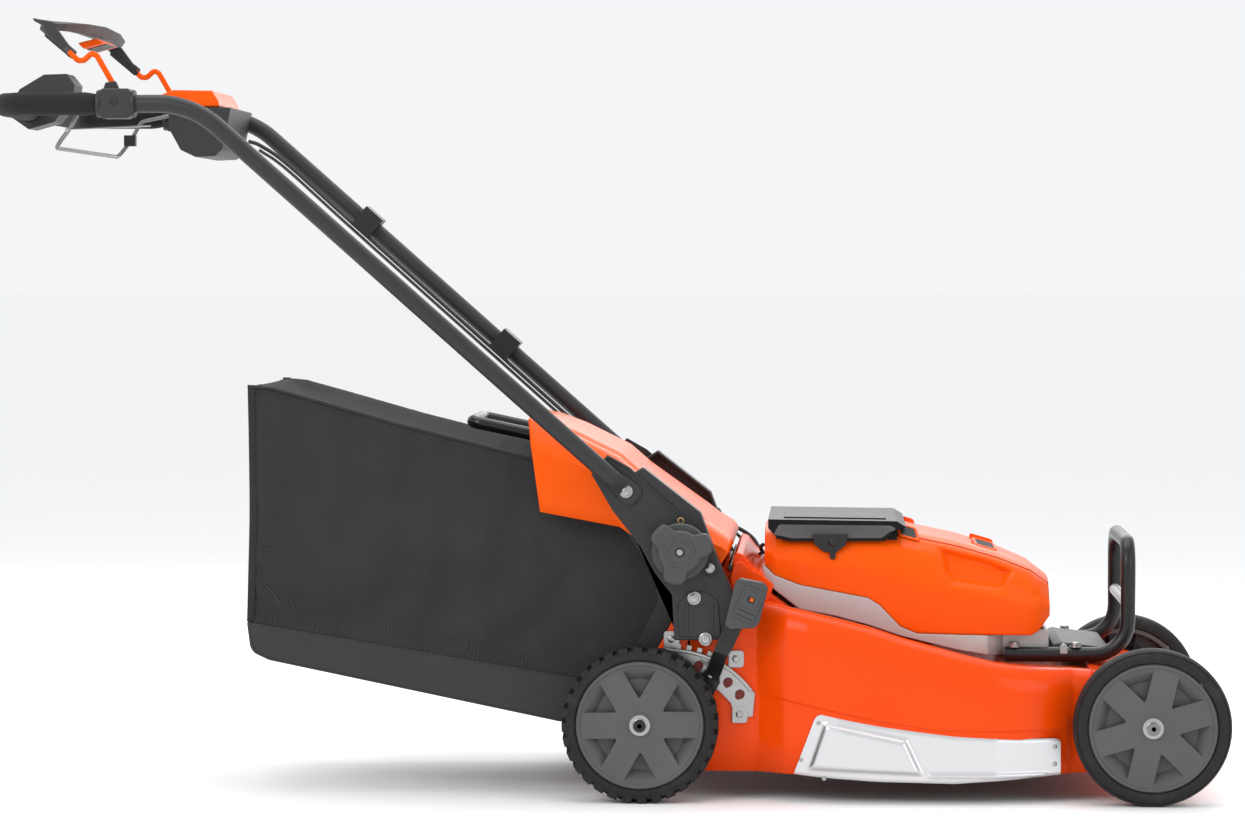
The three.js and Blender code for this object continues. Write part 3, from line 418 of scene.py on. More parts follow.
def rim(name, x, side, phase, body, node):
    """Dished plastic rim: six wedge pockets with floors that slope up to the edge."""
    bm = bmesh.new()
    face_y, floor_y = 271.3, 257.0

    def v(r, deg, y):
        px, pz = polar(x, r, deg)
        return bm.verts.new(P(px, side * y, pz))

    outer = []
    for k in range(6):
        c = phase + 60 * k
        tip = [(39.5, -3.4), (37.6, -2.4), (36.6, 0.0), (37.6, 2.4), (39.5, 3.4)]
        low_tip = [(43.0, -3.4), (41.0, -2.4), (40.0, 0.0), (41.0, 2.4), (43.0, 3.4)]
        edge = tip + [(77.0, d) for d in range(17, -18, -2)]
        floor = low_tip + [(61.0, d * 0.84) for d in range(17, -18, -2)]
        # the tip runs from -3.4 to 3.4 degrees and the arc comes back from 17 to -17
        up = [v(r, c + d, face_y) for r, d in edge]
        down = [v(r, c + d, floor_y) for r, d in floor]
        band(bm, up, down)
        bm.faces.new(down)
        arc = up[len(tip):]
        # flat of the face on each side of the pocket, meeting the next sector on the radial line
        hub_mid = v(17.0, c, face_y)
        hub_hi = [v(17.0, c + d, face_y) for d in (10, 20, 30)]
        hub_lo = [v(17.0, c - d, face_y) for d in (10, 20, 30)]
        ring_hi = [v(77.0, c + d, face_y) for d in (30, 26, 22)]
        ring_lo = [v(77.0, c - d, face_y) for d in (30, 26, 22)]
        bm.faces.new([hub_mid] + hub_hi + ring_hi + [arc[0], up[4], up[3], up[2]])
        bm.faces.new([hub_mid] + hub_lo + ring_lo + [arc[-1], up[0], up[1], up[2]])
        outer += [(77.0, c + d) for d in (-30, -26, -22)] + [(77.0, c + d) for d in range(-17, 18, 2)]
        outer += [(77.0, c + d) for d in (22, 26)]
    # the turned part: edge roll, outer lip, barrel and back
    angles = [d for _, d in outer]
    profile = [(77.0, face_y), (79.5, 272.5), (81.5, 275.0), (84.0, 275.4), (85.8, 273.5), (86.0, 250.0),
               (86.0, 235.5), (84.5, 234.6), (80.0, 235.0), (77.0, 254.5), (72.0, 256.0), (26.0, 256.0),
               (23.0, 254.0), (23.0, 234.5), (22.0, 233.6), (8.4, 233.6)]
    rings = [[v(r, d, y) for r, y in profile] for d in angles]
    for a, b in zip(rings, rings[1:] + rings[:1]):
        band(bm, a, b, False)
    # hub boss with its shallow step
    boss = [(17.0, face_y), (16.6, face_y + 0.9), (15.4, face_y + 1.2), (8.4, face_y + 1.2), (8.4, 233.6)]
    rows = [[v(r, phase + d, y) for r, y in boss] for d in range(0, 360, 10)]
    for a, b in zip(rows, rows[1:] + rows[:1]):
        band(bm, a, b, False)
    bmesh.ops.remove_doubles(bm, verts=bm.verts, dist=2e-5)
    finish_mesh(name, bm, RIM, body, node=node, bevel=1.1, segments=3, angle=30, sharp=34)
    # ribs behind the face, seen through the wheel from inside, drawn black though they are rim plastic:
    # painted shade inside the wheel
    for k in range(12):
        deg = phase + 30 * k
        a, b = polar(x, 24.0, deg), polar(x, 79.0, deg)
        d = Vector((b[0] - a[0], b[1] - a[1])).normalized()
        n = Vector((-d.y, d.x)) * 0.9
        outline = [(a[0] + n.x, a[1] + n.y), (b[0] + n.x, b[1] + n.y), (b[0] - n.x, b[1] - n.y),
                   (a[0] - n.x, a[1] - n.y)]
        prism(f"{name}_rib_{k}", outline, side * 240.0, side * 256.2, BLACK, body, bevel=0.3,
              slot="rim_plastic")
    # the hoops are rim plastic drawn black too: painted shade
    for r in (46.0, 62.0):
        lathe(f"{name}_hoop_{int(r)}", [(r - 0.8, 241), (r + 0.8, 241), (r + 0.8, 256.2), (r - 0.8, 256.2)],
              x, WHEEL_Z, BLACK, body, y_sign=side, sides=64, slot="rim_plastic")


def carcass(name, profile, x, side, body, node):
    lathe(name, profile, x, WHEEL_Z, TYRE, body, y_sign=side, sides=128, node=node, bevel=0.5, angle=40,
          sharp=45)


def smooth_tyre(name, x, side, body, node):
    outer = 105.0
    profile = [(86.2, 235.5), (88, 233.6), (94, 233.0), (100, 234.2), (103.6, 238.5), (outer, 246.0),
               (outer, 254.0), (outer, 264.0), (104.0, 270.5), (102.0, 274.4), (101.2, 274.6), (100.6, 273.6),
               (100.0, 274.9), (98.6, 276.2), (93.5, 277.0), (89.0, 276.8), (86.9, 275.0), (86.2, 272.0)]
    carcass(name, profile, x, side, body, node)


def block_tyre(name, x, side, body, node):
    """Carcass ring with two staggered rows of tread blocks that wrap onto the shoulders."""
    profile = [(86.2, 235.5), (88, 233.6), (94, 233.2), (99.0, 236.0), (100.2, 241.0), (100.2, 269.0),
               (99.0, 274.0), (94.0, 276.8), (89.0, 276.8), (86.9, 275.0), (86.2, 272.0)]
    carcass(name, profile, x, side, body, node)
    bm = bmesh.new()
    count = 32  # blocks in a row
    for row, (y_in, y_out, shift) in enumerate(((256.3, 276.3, 0.0), (233.7, 253.7, 0.5))):
        for k in range(count):
            mid = 360 * (k + shift) / count
            half = 360 / count * 0.31
            edge, inner = (y_out, y_in) if row == 0 else (y_in, y_out)
            lean = 1.6 if row == 0 else -1.6
            shoulder = edge - 2.6 if row == 0 else edge + 2.6
            section = [(98.8, inner), (104.9, inner), (104.9, shoulder), (102.6, edge), (95.5, edge),
                       (95.5, shoulder)]
            ends = []
            for sgn in (-1, 1):
                ring = []
                for r, y in section:
                    twist = lean if abs(y - inner) > 5 else 0.0
                    px, pz = polar(x, r, mid + sgn * half + twist)
                    ring.append(bm.verts.new(P(px, side * y, pz)))
                ends.append(ring)
            band(bm, *ends)
            bm.faces.new(ends[0][::-1])
            bm.faces.new(ends[1])
    finish_mesh(name + "_blocks", bm, TYRE, body, bevel=0.6)


for word, side in SIDES:
    for place, x, phase in (("rear", REAR_X, 31.0), ("front", FRONT_X, 47.0)):
        body = f"{place}_wheel_{word}"
        rim(f"vis_{place}_rim_{word}", x, side, phase, body, f"{place}_rim_{word}")
        if place == "rear":
            block_tyre(f"vis_rear_tyre_{word}", x, side, body, f"rear_tyre_{word}")
        else:
            smooth_tyre(f"vis_front_tyre_{word}", x, side, body, f"front_tyre_{word}")
        crank = "rear_crank" if place == "rear" else "front_crank"
        lathe(f"{place}_washer_{word}", [(8.2, 272.7), (14.2, 272.7), (14.4, 273.4), (13.8, 274.2),
                                         (8.2, 274.4)], x, WHEEL_Z, ZINC, crank, y_sign=side)
        stud(f"{place}_flange_nut_{word}", x, side * 274.2, WHEEL_Z, 9.8, 2.4, ZINC, crank, side, dome=1)
        stud(f"{place}_nut_{word}", x, side * 275.8, WHEEL_Z, 8.4, 4.6, ZINC, crank, side, hexagon=True)
        stud(f"{place}_stub_end_{word}", x, side * 279.8, WHEEL_Z, 4.4, 2.2, ZINC, crank, side)


# ---------------------------------------------------------------- cutting deck

DECK = [(62, 217, 284, 6), (157, 217, 270, 8), (176, 233, 265, 9), (195, 247, 261, 9), (225, 257, 255, 9),
        (265, 263, 246, 9), (305, 265, 236, 9), (350, 265, 221, 9), (424, 265, 201, 9), (475, 261, 188, 8.5),
        (515, 251, 182, 6), (548, 236, 179, 4.5), (580, 217, 177, 4.5), (612, 215, 174, 4.5)]
CREASE = [(62, 150), (162, 143), (319, 110), (400, 98), (542, 97), (612, 97)]
DECK_BOTTOM = 38.0


def along(table, x, column=1):
    """Straight interpolation of one column of a table by its first column."""
    if x <= table[0][0]:
        return table[0][column]
    for a, b in zip(table, table[1:]):
        if x <= b[0]:
            t = (x - a[0]) / (b[0] - a[0])
            return a[column] + (b[column] - a[column]) * t
    return table[-1][column]


def smoothstep(a, b, x):
    t = max(0.0, min(1.0, (x - a) / (b - a)))
    return t * t * (3 - 2 * t)


def deck_half(x):
    w, sh, drop = (along(DECK, x, c) for c in (1, 2, 3))
    zc = along(CREASE, x)
    step = 3.2 * smoothstep(158, 176, x) * (1 - smoothstep(566, 578, x))
    low_in = 5.0 * smoothstep(570, 576, x)
    pts = [(w - step - low_in, DECK_BOTTOM), (w - step - low_in, (DECK_BOTTOM + zc) / 2),
           (w - step - low_in, zc - 7), (w - step - low_in, zc - 1.0), (w - low_in, zc + 2.4),
           (w - low_in, zc + 6)]
    top = sh - 44
    pts += [(w, max(zc + 8, zc + 8 + (top - zc - 8) * k / 3)) for k in (1, 2)]
    for k in range(13):
        a = math.pi / 2 * k / 12
        pts.append((w - 30 + 30 * math.cos(a) ** 0.86, max(zc + 9, top + 44 * math.sin(a) ** 0.86)))
    pts.append((min(184, w - 31), sh - drop))
    return pts


def deck_ring(x):
    half = deck_half(x)
    return [P(x, -y, z) for y, z in half] + [P(x, y, z) for y, z in reversed(half)]


deck_x = sorted({62, 100, 130} | set(range(150, 300, 5)) | set(range(300, 560, 10)) | set(range(560, 613, 3))
                | {612})
loft("vis_deck", [deck_ring(x) for x in deck_x], PAINT, "chassis", closed_ring=False, caps=False, node="deck",
     shell=3.0, inside=BLACK_COAT, sharp=26)

CHUTE = [(64, 140), (62, 150), (27, 186), (31, 197), (106, 305), (126, 306), (158, 289), (176, 271),
         (212, 245), (240, 236), (240, 140)]
for word, side in SIDES:
    prism(f"deck_chute_wall_{word}", rounded(CHUTE, [0, 4, 6, 4, 9, 9, 12, 12, 16, 0, 0]), side * 185.5,
          side * 190, PAINT, "chassis", bevel=1.0)
    prism(f"deck_cheek_{word}", rounded([(66, 40), (30, 44), (20, 60), (20, 200), (29, 216), (49, 255),
                                         (58, 266), (66, 266)], 6), side * 213, side * 217, PAINT, "chassis",
          bevel=1.2)
    # low gusset that runs from the chute down onto the shoulder
    prism(f"deck_gusset_{word}", rounded([(118, 296), (124, 318), (133, 320), (149, 308), (160, 303),
                                          (178, 288), (170, 266), (126, 266)], 4), side * 189, side * 200,
          PAINT, "chassis", bevel=2.5, segments=3)


def strip(name, line, half, thick, mat, body, bevel=1.0, radius=6, down=1, **kw):
    """A bent sheet: an (x, z) line with thickness, straight across the mower."""
    top = rounded(line, radius, closed=False)
    out = []
    for i, p in enumerate(top):
        a, b = top[max(0, i - 1)], top[min(len(top) - 1, i + 1)]
        t = (b - a).normalized()
        out.append((p.x + t.y * thick * down, p.y - t.x * thick * down))
    ring = [(p.x, p.y) for p in top] + out[::-1]
    return prism(name, ring, -half, half, mat, body, bevel=bevel, **kw)


strip("deck_chute_top", [(106, 305), (126, 306), (158, 289), (176, 271), (212, 245), (240, 236)], 190, 4,
      PAINT, "chassis", bevel=2.0, segments=3, radius=12)
prism("deck_hinge_ridge", rounded([(118, 300), (123, 326), (128, 331.5), (136, 328), (149, 311), (162, 304),
                                   (176, 275), (150, 285)], [2, 4, 4, 5, 10, 6, 3, 3], 5), -190, 190, PAINT,
      "chassis", bevel=2.5, segments=3)
strip("deck_chute_lip", [(66, 136), (62, 150), (27, 186), (31, 199)], 189, 4, PAINT, "chassis")
prism("deck_rear_wall", [(62, 40), (66, 40), (66, 186), (62, 186)], -213, 213, PAINT, "chassis", bevel=0.8)
prism("deck_nose", rounded([(604, 176.5), (640, 171), (700, 158), (742, 128), (746, 60), (738, 55),
                            (604, 55)], [0, 30, 26, 18, 8, 4, 0]), -211.5, 211.5, PAINT, "chassis", bevel=7,
      segments=5)

# pressed aluminium side panels: a raised field inside a bevel, and a low ledge ahead of it
PANEL_LOW = [(205, 38), (262, 33.5), (320, 30), (420, 28), (500, 33), (562, 38.5)]
PANEL_HIGH = [(236, 121), (275, 113), (319, 105), (370, 98), (420, 92), (502, 87), (562, 87)]
FIELD = [(245, 111), (357, 88), (381, 37), (222, 43)]


def inside_distance(poly, x, z):
    """Distance to the nearest side, positive inside; poly runs clockwise as seen from the right."""
    best = 1e9
    for (ax, az), (bx, bz) in zip(poly, poly[1:] + poly[:1]):
        ex, ez = bx - ax, bz - az
        d = ((x - ax) * -ez + (z - az) * ex) / math.hypot(ex, ez)
        best = min(best, -d)
    return best


def panel_surface(u, v):
    """Point of the right-hand panel's face, u along it and v up it; the top corners are rounded."""
    corner = 8.0 / 60.0
    t = max(0.0, (v - (1 - corner)) / corner)
    bend = 8.0 * (1 - math.sqrt(max(0.0, 1 - t * t)))
    left, right = 205 + 31 * v + bend, 562.0 - bend
    x = left + (right - left) * u
    z = along(PANEL_LOW, x) + (along(PANEL_HIGH, x) - along(PANEL_LOW, x)) * v
    h = 1.6 + 7.0 * smoothstep(0, 8.5, inside_distance(FIELD, x, z))
    ledge = [(383, 42), (543, 43), (545, 35), (385, 35)]
    h = max(h, 1.6 + 2.6 * smoothstep(0, 2.5, inside_distance(ledge, x, z)))
    tuck = 2.2 * (1 - smoothstep(0, 3.2, min(z - along(PANEL_LOW, x), along(PANEL_HIGH, x) - z)))
    wall = along(DECK, x) if x < 500 else max(along(DECK, x), 254.8 + (x - 500) * -0.27)
    return x, wall - 3.2 + h - tuck, z


for word, side in SIDES:
    rows = []
    for j in range(33):
        row = []
        for i in range(141):
            x, y, z = panel_surface(i / 140, j / 32)
            row.append(P(x, side * y, z))
        rows.append(row)
    loft(f"vis_side_panel_{word}", rows, ALU, "chassis", closed_ring=False, caps=False,
         node=f"side_panel_{word}", sharp=60)
    for k, (x, z, r) in enumerate(((238.5, 108, 2.8), (215.5, 58, 2.8), (554, 76, 3.2), (554, 53, 3.2))):
        y = along(DECK, x) - 1.8 if x < 500 else 254.8 + (x - 500) * -0.27 - 1.6
        stud(f"panel_rivet_{word}_{k}", x, side * y, z, r, 1.8, ZINC, "chassis", side, dome=1, slot=None)
    stud(f"panel_bolt_{word}", 246, side * (along(DECK, 246) - 4.5), 33.5, 3.6, 3.0, ZINC, "chassis", side,
         hexagon=True, slot=None)

# ---------------------------------------------------------------- motor base, housing and lid

from_node("motor_base_frame", SATIN, bevel=1.6, segments=3)

HOUSING = [(164, 132, 311, 330, 350, 357), (178, 143, 297, 322, 352, 360), (213, 148, 284, 318, 352, 360),
           (305, 150, 267, 310, 351, 360), (321, 150, 257, 306, 350, 360), (349, 150, 228, 296, 348, 360),
           (372, 150, 218.5, 288, 342, 353), (430, 148, 217, 276, 330, 341), (484, 140, 216, 266, 314, 325),
           (528, 128, 214.5, 256, 296, 307), (539, 123, 221, 254, 288, 298), (554, 108, 240, 254, 276, 287)]
SCOOP = [(397, 338), (470, 319), (508, 303), (490, 274), (419, 285), (408, 298)]
STEP_DEPTH, SCOOP_DEPTH, SCOOP_BEVEL = 3.6, 17.0, 12.0
RIDGE = [(321, 344), (378, 331), (395, 311), (415, 282), (488, 270), (530, 262)]


def fixed_section(points, radii, counts, arc=5):
    """Half section with arcs at the corners and the same number of points for every station."""
    pts = [Vector(p) for p in points]
    trims = []
    for i, p in enumerate(pts):
        if i in (0, len(pts) - 1) or not radii[i]:
            trims.append(0.0)
            continue
        trims.append(min(radii[i], 0.45 * (pts[i - 1] - p).length, 0.45 * (pts[i + 1] - p).length))
    out = [pts[0]]
    for i in range(1, len(pts)):
        a, b = pts[i - 1], pts[i]
        d = (b - a).normalized()
        start, end = a + d * trims[i - 1], b - d * trims[i]
        out += [start.lerp(end, k / counts[i - 1]) for k in range(1, counts[i - 1] + 1)]
        if trims[i]:
            e = (pts[i + 1] - b).normalized()
            stop = b + e * trims[i]
            for k in range(1, arc + 1):
                t = k / arc
                out.append((1 - t) ** 2 * end + 2 * t * (1 - t) * b + t * t * stop)
    return out


def housing_ring(x):
    half, low, brk, sh, top = (along(HOUSING, x, c) for c in range(1, 6))
    pts = [(half - 2, low), (half, brk), (half - 8, sh - 16), (half - 24, sh), (half - 60, top),
           (0, top + 1.5)]
    sec = fixed_section(pts, [0, 7, 10, 11, 16, 0], [16, 10, 6, 7, 14])
    ring = []
    for p in sec:
        y, z = p.x, p.y
        d = inside_distance(SCOOP, x, z)
        if y > half - 40:
            y -= STEP_DEPTH * smoothstep(0, 4.0, z - along(RIDGE, x)) * smoothstep(316, 330, x)
            if d > 0:
                y -= SCOOP_DEPTH * smoothstep(0, SCOOP_BEVEL, d)
        ring.append((y, z))
    return [P(x, -y, z) for y, z in ring] + [P(x, y, z) for y, z in ring[-2::-1]]


xs = [164, 165.5, 168, 171, 174.5] + list(range(178, 540, 3)) + [540, 543, 546, 549, 552, 554]
bm = rings_mesh([housing_ring(x) for x in xs], closed_ring=False, caps=False)
edge = [e for e in bm.edges if e.is_boundary]
for x in (164, 554):
    own = [e for e in edge if all(abs(v.co.x - (x + AXLE) * MM) < 1e-7 for v in e.verts)]
    bmesh.ops.edgeloop_fill(bm, edges=own)
# the faces over the battery bay are left out, so that the open lid shows the bay
gone = [f for f in bm.faces if P(182, 0, 0).x < f.calc_center_median().x < P(343, 0, 0).x
        and abs(f.calc_center_median().y) < 0.125 and f.calc_center_median().z > 0.345]
bmesh.ops.delete(bm, geom=gone, context="FACES")
finish_mesh("vis_motor_housing", bm, SHELL, "chassis", node="motor_housing", shell=2.5, sharp=50)

# battery bay liner
bm = bmesh.new()
top = [bm.verts.new(P(x, y, 358)) for x, y in ((180, -127), (345, -127), (345, 127), (180, 127))]
low = [bm.verts.new(P(x, y, 264)) for x, y in ((181, -126), (344, -126), (344, 126), (181, 126))]
band(bm, top, low)
bm.faces.new(low)
finish_mesh("battery_bay_liner", bm, BLACK, "chassis", shell=2.0)

from_node("battery_lid", SMOKE, bevel=2.4, segments=3)
prism("lid_raised_panel", rounded([(190, 371.8), (330, 370.4), (330, 372.8), (190, 374.4)], 1.0), -108, 108,
      SMOKE, "lid", bevel=1.0, segments=3)
for word, side in SIDES:
    # the side facets carry the painted reflection of the smoked plastic
    prism(f"lid_side_facet_{word}", rounded([(176, 352), (184, 366), (336, 365), (345, 360), (334, 356),
                                             (324, 348), (202, 347), (188, 350)], [2, 4, 4, 2, 4, 4, 4, 4]),
          side * 144.2, side * 145.1, SMOKE_REFLECTION, "lid", bevel=0.6, segments=3)
from_node("lid_latch", GLOSSY, bevel=0.8)
stud("latch_knob", 257, -149.2, 342, 5.8, 3.0, GLOSSY, "latch", -1, dome=1)
prism("latch_pull", rounded([(252, 330), (262, 330), (260, 319), (254, 319)], 2), -150.5, -148.2, GLOSSY,
      "latch", bevel=0.5)


def housing_top(x, y):
    """Height of the housing's upper face."""
    half, sh, top = along(HOUSING, x, 1), along(HOUSING, x, 4), along(HOUSING, x, 5)
    y = abs(y)
    if y <= half - 60:
        return top + 1.5 * (1 - y / (half - 60))
    if y <= half - 24:
        return top + (sh - top) * (y - half + 60) / 36
    return sh - (y - half + 24)


def vent(name, x0, x1, y0, y1, skew):
    """A raised orange bezel following the housing's top, with a flat dark sheet of painted shade in its slot.
    """
    corners = rounded([(x0, y0), (x1, y0 + skew), (x1 - 3, y1 + skew), (x0 - 3, y1)], 3.5, 4)
    c = sum((Vector(p) for p in corners), Vector((0, 0))) / len(corners)

    def ring(scale, lift):
        out = []
        for p in corners:
            q = c + (Vector(p) - c) * scale
            lean = 0.2 * max(0.0, abs(y0) - abs(q.y)) if lift > 0 else 0.0
            out.append(P(q.x, q.y, housing_top(q.x, q.y) + lift + lean))
        return out
    loft(name + "_bezel", [ring(1.36, -0.6), ring(1.3, 1.2), ring(1.14, 1.8), ring(1.0, 1.3),
                           ring(0.98, -0.5)], SHELL, "chassis", caps=False, sharp=40)
    # the slot is a flat dark cap of painted shade
    loft(name + "_slot", [ring(1.0, 1.0), ring(0.5, 1.0)], HOLE_SHADE, "chassis", caps=True)


for word, side in SIDES:
    vent(f"rear_vent_{word}", 350, 372, side * 118, side * 96, 0)
    vent(f"front_vent_{word}", 456, 480, side * 66, side * 42, side * -2)


# ---------------------------------------------------------------- front bar, brackets and height lever

def line3(points, radii, steps=8):
    """Millimetre points, with a corner radius for each, to a rounded path in metres."""
    return rounded([P(*p) for p in points], [r * MM for r in radii], steps, closed=False)


BAR = [(492, -125, 188.5), (659, -125, 188.5), (659, -125, 341), (659, 125, 341), (659, 125, 188.5),
       (492, 125, 188.5)]
tube("vis_front_bar", line3(BAR, [0, 46, 34, 34, 46, 0]), 10, BLACK_COAT, "chassis", sides=28,
     node="front_bar")
tube("front_bar_rung", [P(659, -116, 258), P(659, 116, 258)], 8, SATIN, "chassis", sides=28)
for word, side in SIDES:
    for k, x in enumerate((505, 588)):
        rings = []
        for r, h in ((8.5, 0), (8.5, 1.6), (6.6, 1.8), (6.6, 6.0), (5.6, 7.0), (2.0, 7.2)):
            rings.append([P(x + r * math.cos(a), side * 125 + r * math.sin(a), 198.4 + h) for a in turn(24)])
        loft(f"bar_bolt_{word}_{k}", rings, ZINC, "chassis", sharp=40)
    prism(f"bar_clip_{word}", rounded([(566, 190), (566, 201), (571, 203.5), (577, 201), (577, 190)], 2.5),
          side * 113.6, side * 136.4, ZINC, "chassis", bevel=0.8)
from_node("front_plate", GREY, bevel=1.4, segments=3)

for word, side in SIDES:
    from_node(f"handle_bracket_{word}", CHARCOAL, bevel=2.0, segments=3)
    # pressed rib field on the bracket's foot
    prism(f"bracket_foot_{word}", rounded([(52, 222), (50, 262), (60, 280), (86, 284), (104, 270),
                                           (108, 222)], [3, 14, 16, 16, 14, 3]), side * 248.2, side * 251.2,
          CHARCOAL, "chassis", bevel=1.2, segments=3)
    for k, x in enumerate((62, 96)):
        prism(f"bracket_rib_{word}_{k}", rounded([(x - 2.4, 224), (x - 2.4, 266), (x, 270), (x + 2.4, 266),
                                                  (x + 2.4, 224)], 1.5), side * 250.6, side * 252.4, CHARCOAL,
              "chassis", bevel=0.8)
    cross_bolt(f"bracket_bolt_a_{word}", 72, side * 251.0, 274, 6.8, ZINC, "chassis", side, washer=8.0)
    cross_bolt(f"bracket_bolt_b_{word}", 87, side * 251.0, 219, 6.8, ZINC, "chassis", side, washer=8.0)
    # recessed nut above the foot
    lathe(f"bracket_recess_{word}", [(11.5, 248.6), (12.6, 249.6), (11.4, 250.2), (10.6, 249.0)], 93, 314,
          CHARCOAL, "chassis", y_sign=side)
    # the recess floor is a dark disc of painted shade
    lathe(f"bracket_recess_floor_{word}", [(0.01, 249.15), (10.8, 249.15), (10.8, 249.4), (0.01, 249.4)], 93,
          314, HOLE_SHADE, "chassis", y_sign=side, slot=None)
    cross_bolt(f"bracket_nut_{word}", 93, side * 249.3, 314, 4.9, ZINC, "chassis", side)
    lathe(f"bracket_hole_rim_{word}", [(3.0, 252.6), (4.4, 252.6), (4.4, 253.6), (3.0, 253.6)], 54, 378,
          BRASS, "handle", y_sign=side, sides=24)

# toothed height plate with its raised arc and oval stops
from_node("height_quadrant", ZINC, bevel=0.5)


def arc_band(name, cx, cz, r0, r1, a0, a1, y0, y1, mat, body, steps=36, **kw):
    out = [(cx + r1 * math.cos(math.radians(a)), cz + r1 * math.sin(math.radians(a)))
           for a in (a0 + (a1 - a0) * k / steps for k in range(steps + 1))]
    inn = [(cx + r0 * math.cos(math.radians(a)), cz + r0 * math.sin(math.radians(a)))
           for a in (a1 + (a0 - a1) * k / steps for k in range(steps + 1))]
    return prism(name, out + inn, y0, y1, mat, body, **kw)


arc_band("quadrant_rim", 40, 67, 131.5, 136.5, 36, 97, -225.4, -221, ZINC, "chassis", bevel=1.2, segments=3)
for k, a in enumerate((92, 86, 80, 74, 68)):
    mid = math.radians(a)
    c = (40 + 139 * math.cos(mid), 67 + 139 * math.sin(mid))
    t = (-math.sin(mid), math.cos(mid))
    n = (math.cos(mid), math.sin(mid))
    pts = [(c[0] + t[0] * s * 3.6 + n[0] * r, c[1] + t[1] * s * 3.6 + n[1] * r) for s,
           r in ((-1, -4), (-1, 4), (1, 4), (1, -4))]
    prism(f"quadrant_tooth_{k}", pts, -221, -217.5, ZINC, "chassis", bevel=0.6)
for k, (x, z) in enumerate(((40, 216), (127, 190), (132, 115))):
    prism(f"quadrant_tab_{k}", rounded([(x - 10, z - 12), (x - 10, z + 11), (x + 11, z + 11),
                                        (x + 11, z - 12)], [2, 5, 5, 5]), -221.4, -217.4, ZINC, "chassis",
          bevel=0.6)
    stud(f"quadrant_rivet_{k}", x, -221.3, z, 5.0, 2.4, ZINC, "chassis", -1, dome=1)
for k, a in enumerate((72, 50, 39)):
    x, z = 40 + 118 * math.cos(math.radians(a)), 67 + 118 * math.sin(math.radians(a))
    ring = []
    lean = math.radians(a - 68)
    for b in turn(32):
        u, v = 5.2 * math.cos(b), 7.2 * math.sin(b)
        ring.append((x + u * math.cos(lean) - v * math.sin(lean),
                     z + u * math.sin(lean) + v * math.cos(lean)))
    prism(f"quadrant_slot_{k}", ring, -221.25, -220.9, RED_SHADE, "chassis")

from_node("rear_axle", STEEL, bevel=0.6)
from_node("front_axle", STEEL, bevel=0.6)
from_node("height_link_rod", STEEL, bevel=0.6)
from_node("height_lever", BLACK_COAT, bevel=1.2, segments=3)
from_node("lever_grip", GREY, bevel=2.2, segments=4)
GRIP_C, GRIP_TILT = Vector((146, 268)), math.radians(-24)


def on_grip(u, v):
    """Point on the lever grip's face: u across it, v along it."""
    return (GRIP_C.x + u * math.cos(GRIP_TILT) - v * math.sin(GRIP_TILT), GRIP_C.y + u * math.sin(GRIP_TILT)
            + v * math.cos(GRIP_TILT))


prism("grip_border", rounded([on_grip(u, v) for u, v in ((-15, -24), (-15, 22), (15, 22), (15, -24))], 4),
      -273.0, -270.6, GREY, "rear_crank", bevel=0.9, segments=3)
prism("grip_inset", rounded([on_grip(u, v) for u, v in ((-11, -6), (-11, 18), (11, 18), (11, -6))], 2.5),
      -273.9, -272.6, GREY, "rear_crank", bevel=0.5)
# the grooves and the window are dark sheets of painted shade
for k in range(2):
    prism(f"grip_groove_{k}", [on_grip(u, v) for u, v in ((-12, -12 - 7 * k), (-12, -10.8 - 7 * k),
            (12, -10.8 - 7 * k), (12, -12 - 7 * k))], -273.3, -272.7, HOLE_SHADE, "rear_crank", slot=None)
prism("grip_window", rounded([on_grip(u, v) for u, v in ((-5, 2), (-5, 10), (5, 10), (5, 2))], 1), -274.2,
      -273.7, HOLE_SHADE, "rear_crank")
prism("grip_mark", rounded([on_grip(u, v) for u, v in ((-1.5, 4.5), (-1.5, 9), (3, 9), (3, 4.5))], 0.6),
      -274.6, -274.1, SHELL, "rear_crank")
tube("lever_barrel", [P(116, -252, 216), P(136, -252, 246)], 7.0, BLACK_COAT, "rear_crank", bevel=1.0)
stud("lever_rivet", 92, -230.0, 168, 4.2, 2.2, ZINC, "rear_crank", -1, dome=1)

# ---------------------------------------------------------------- fold knobs, straps and handle

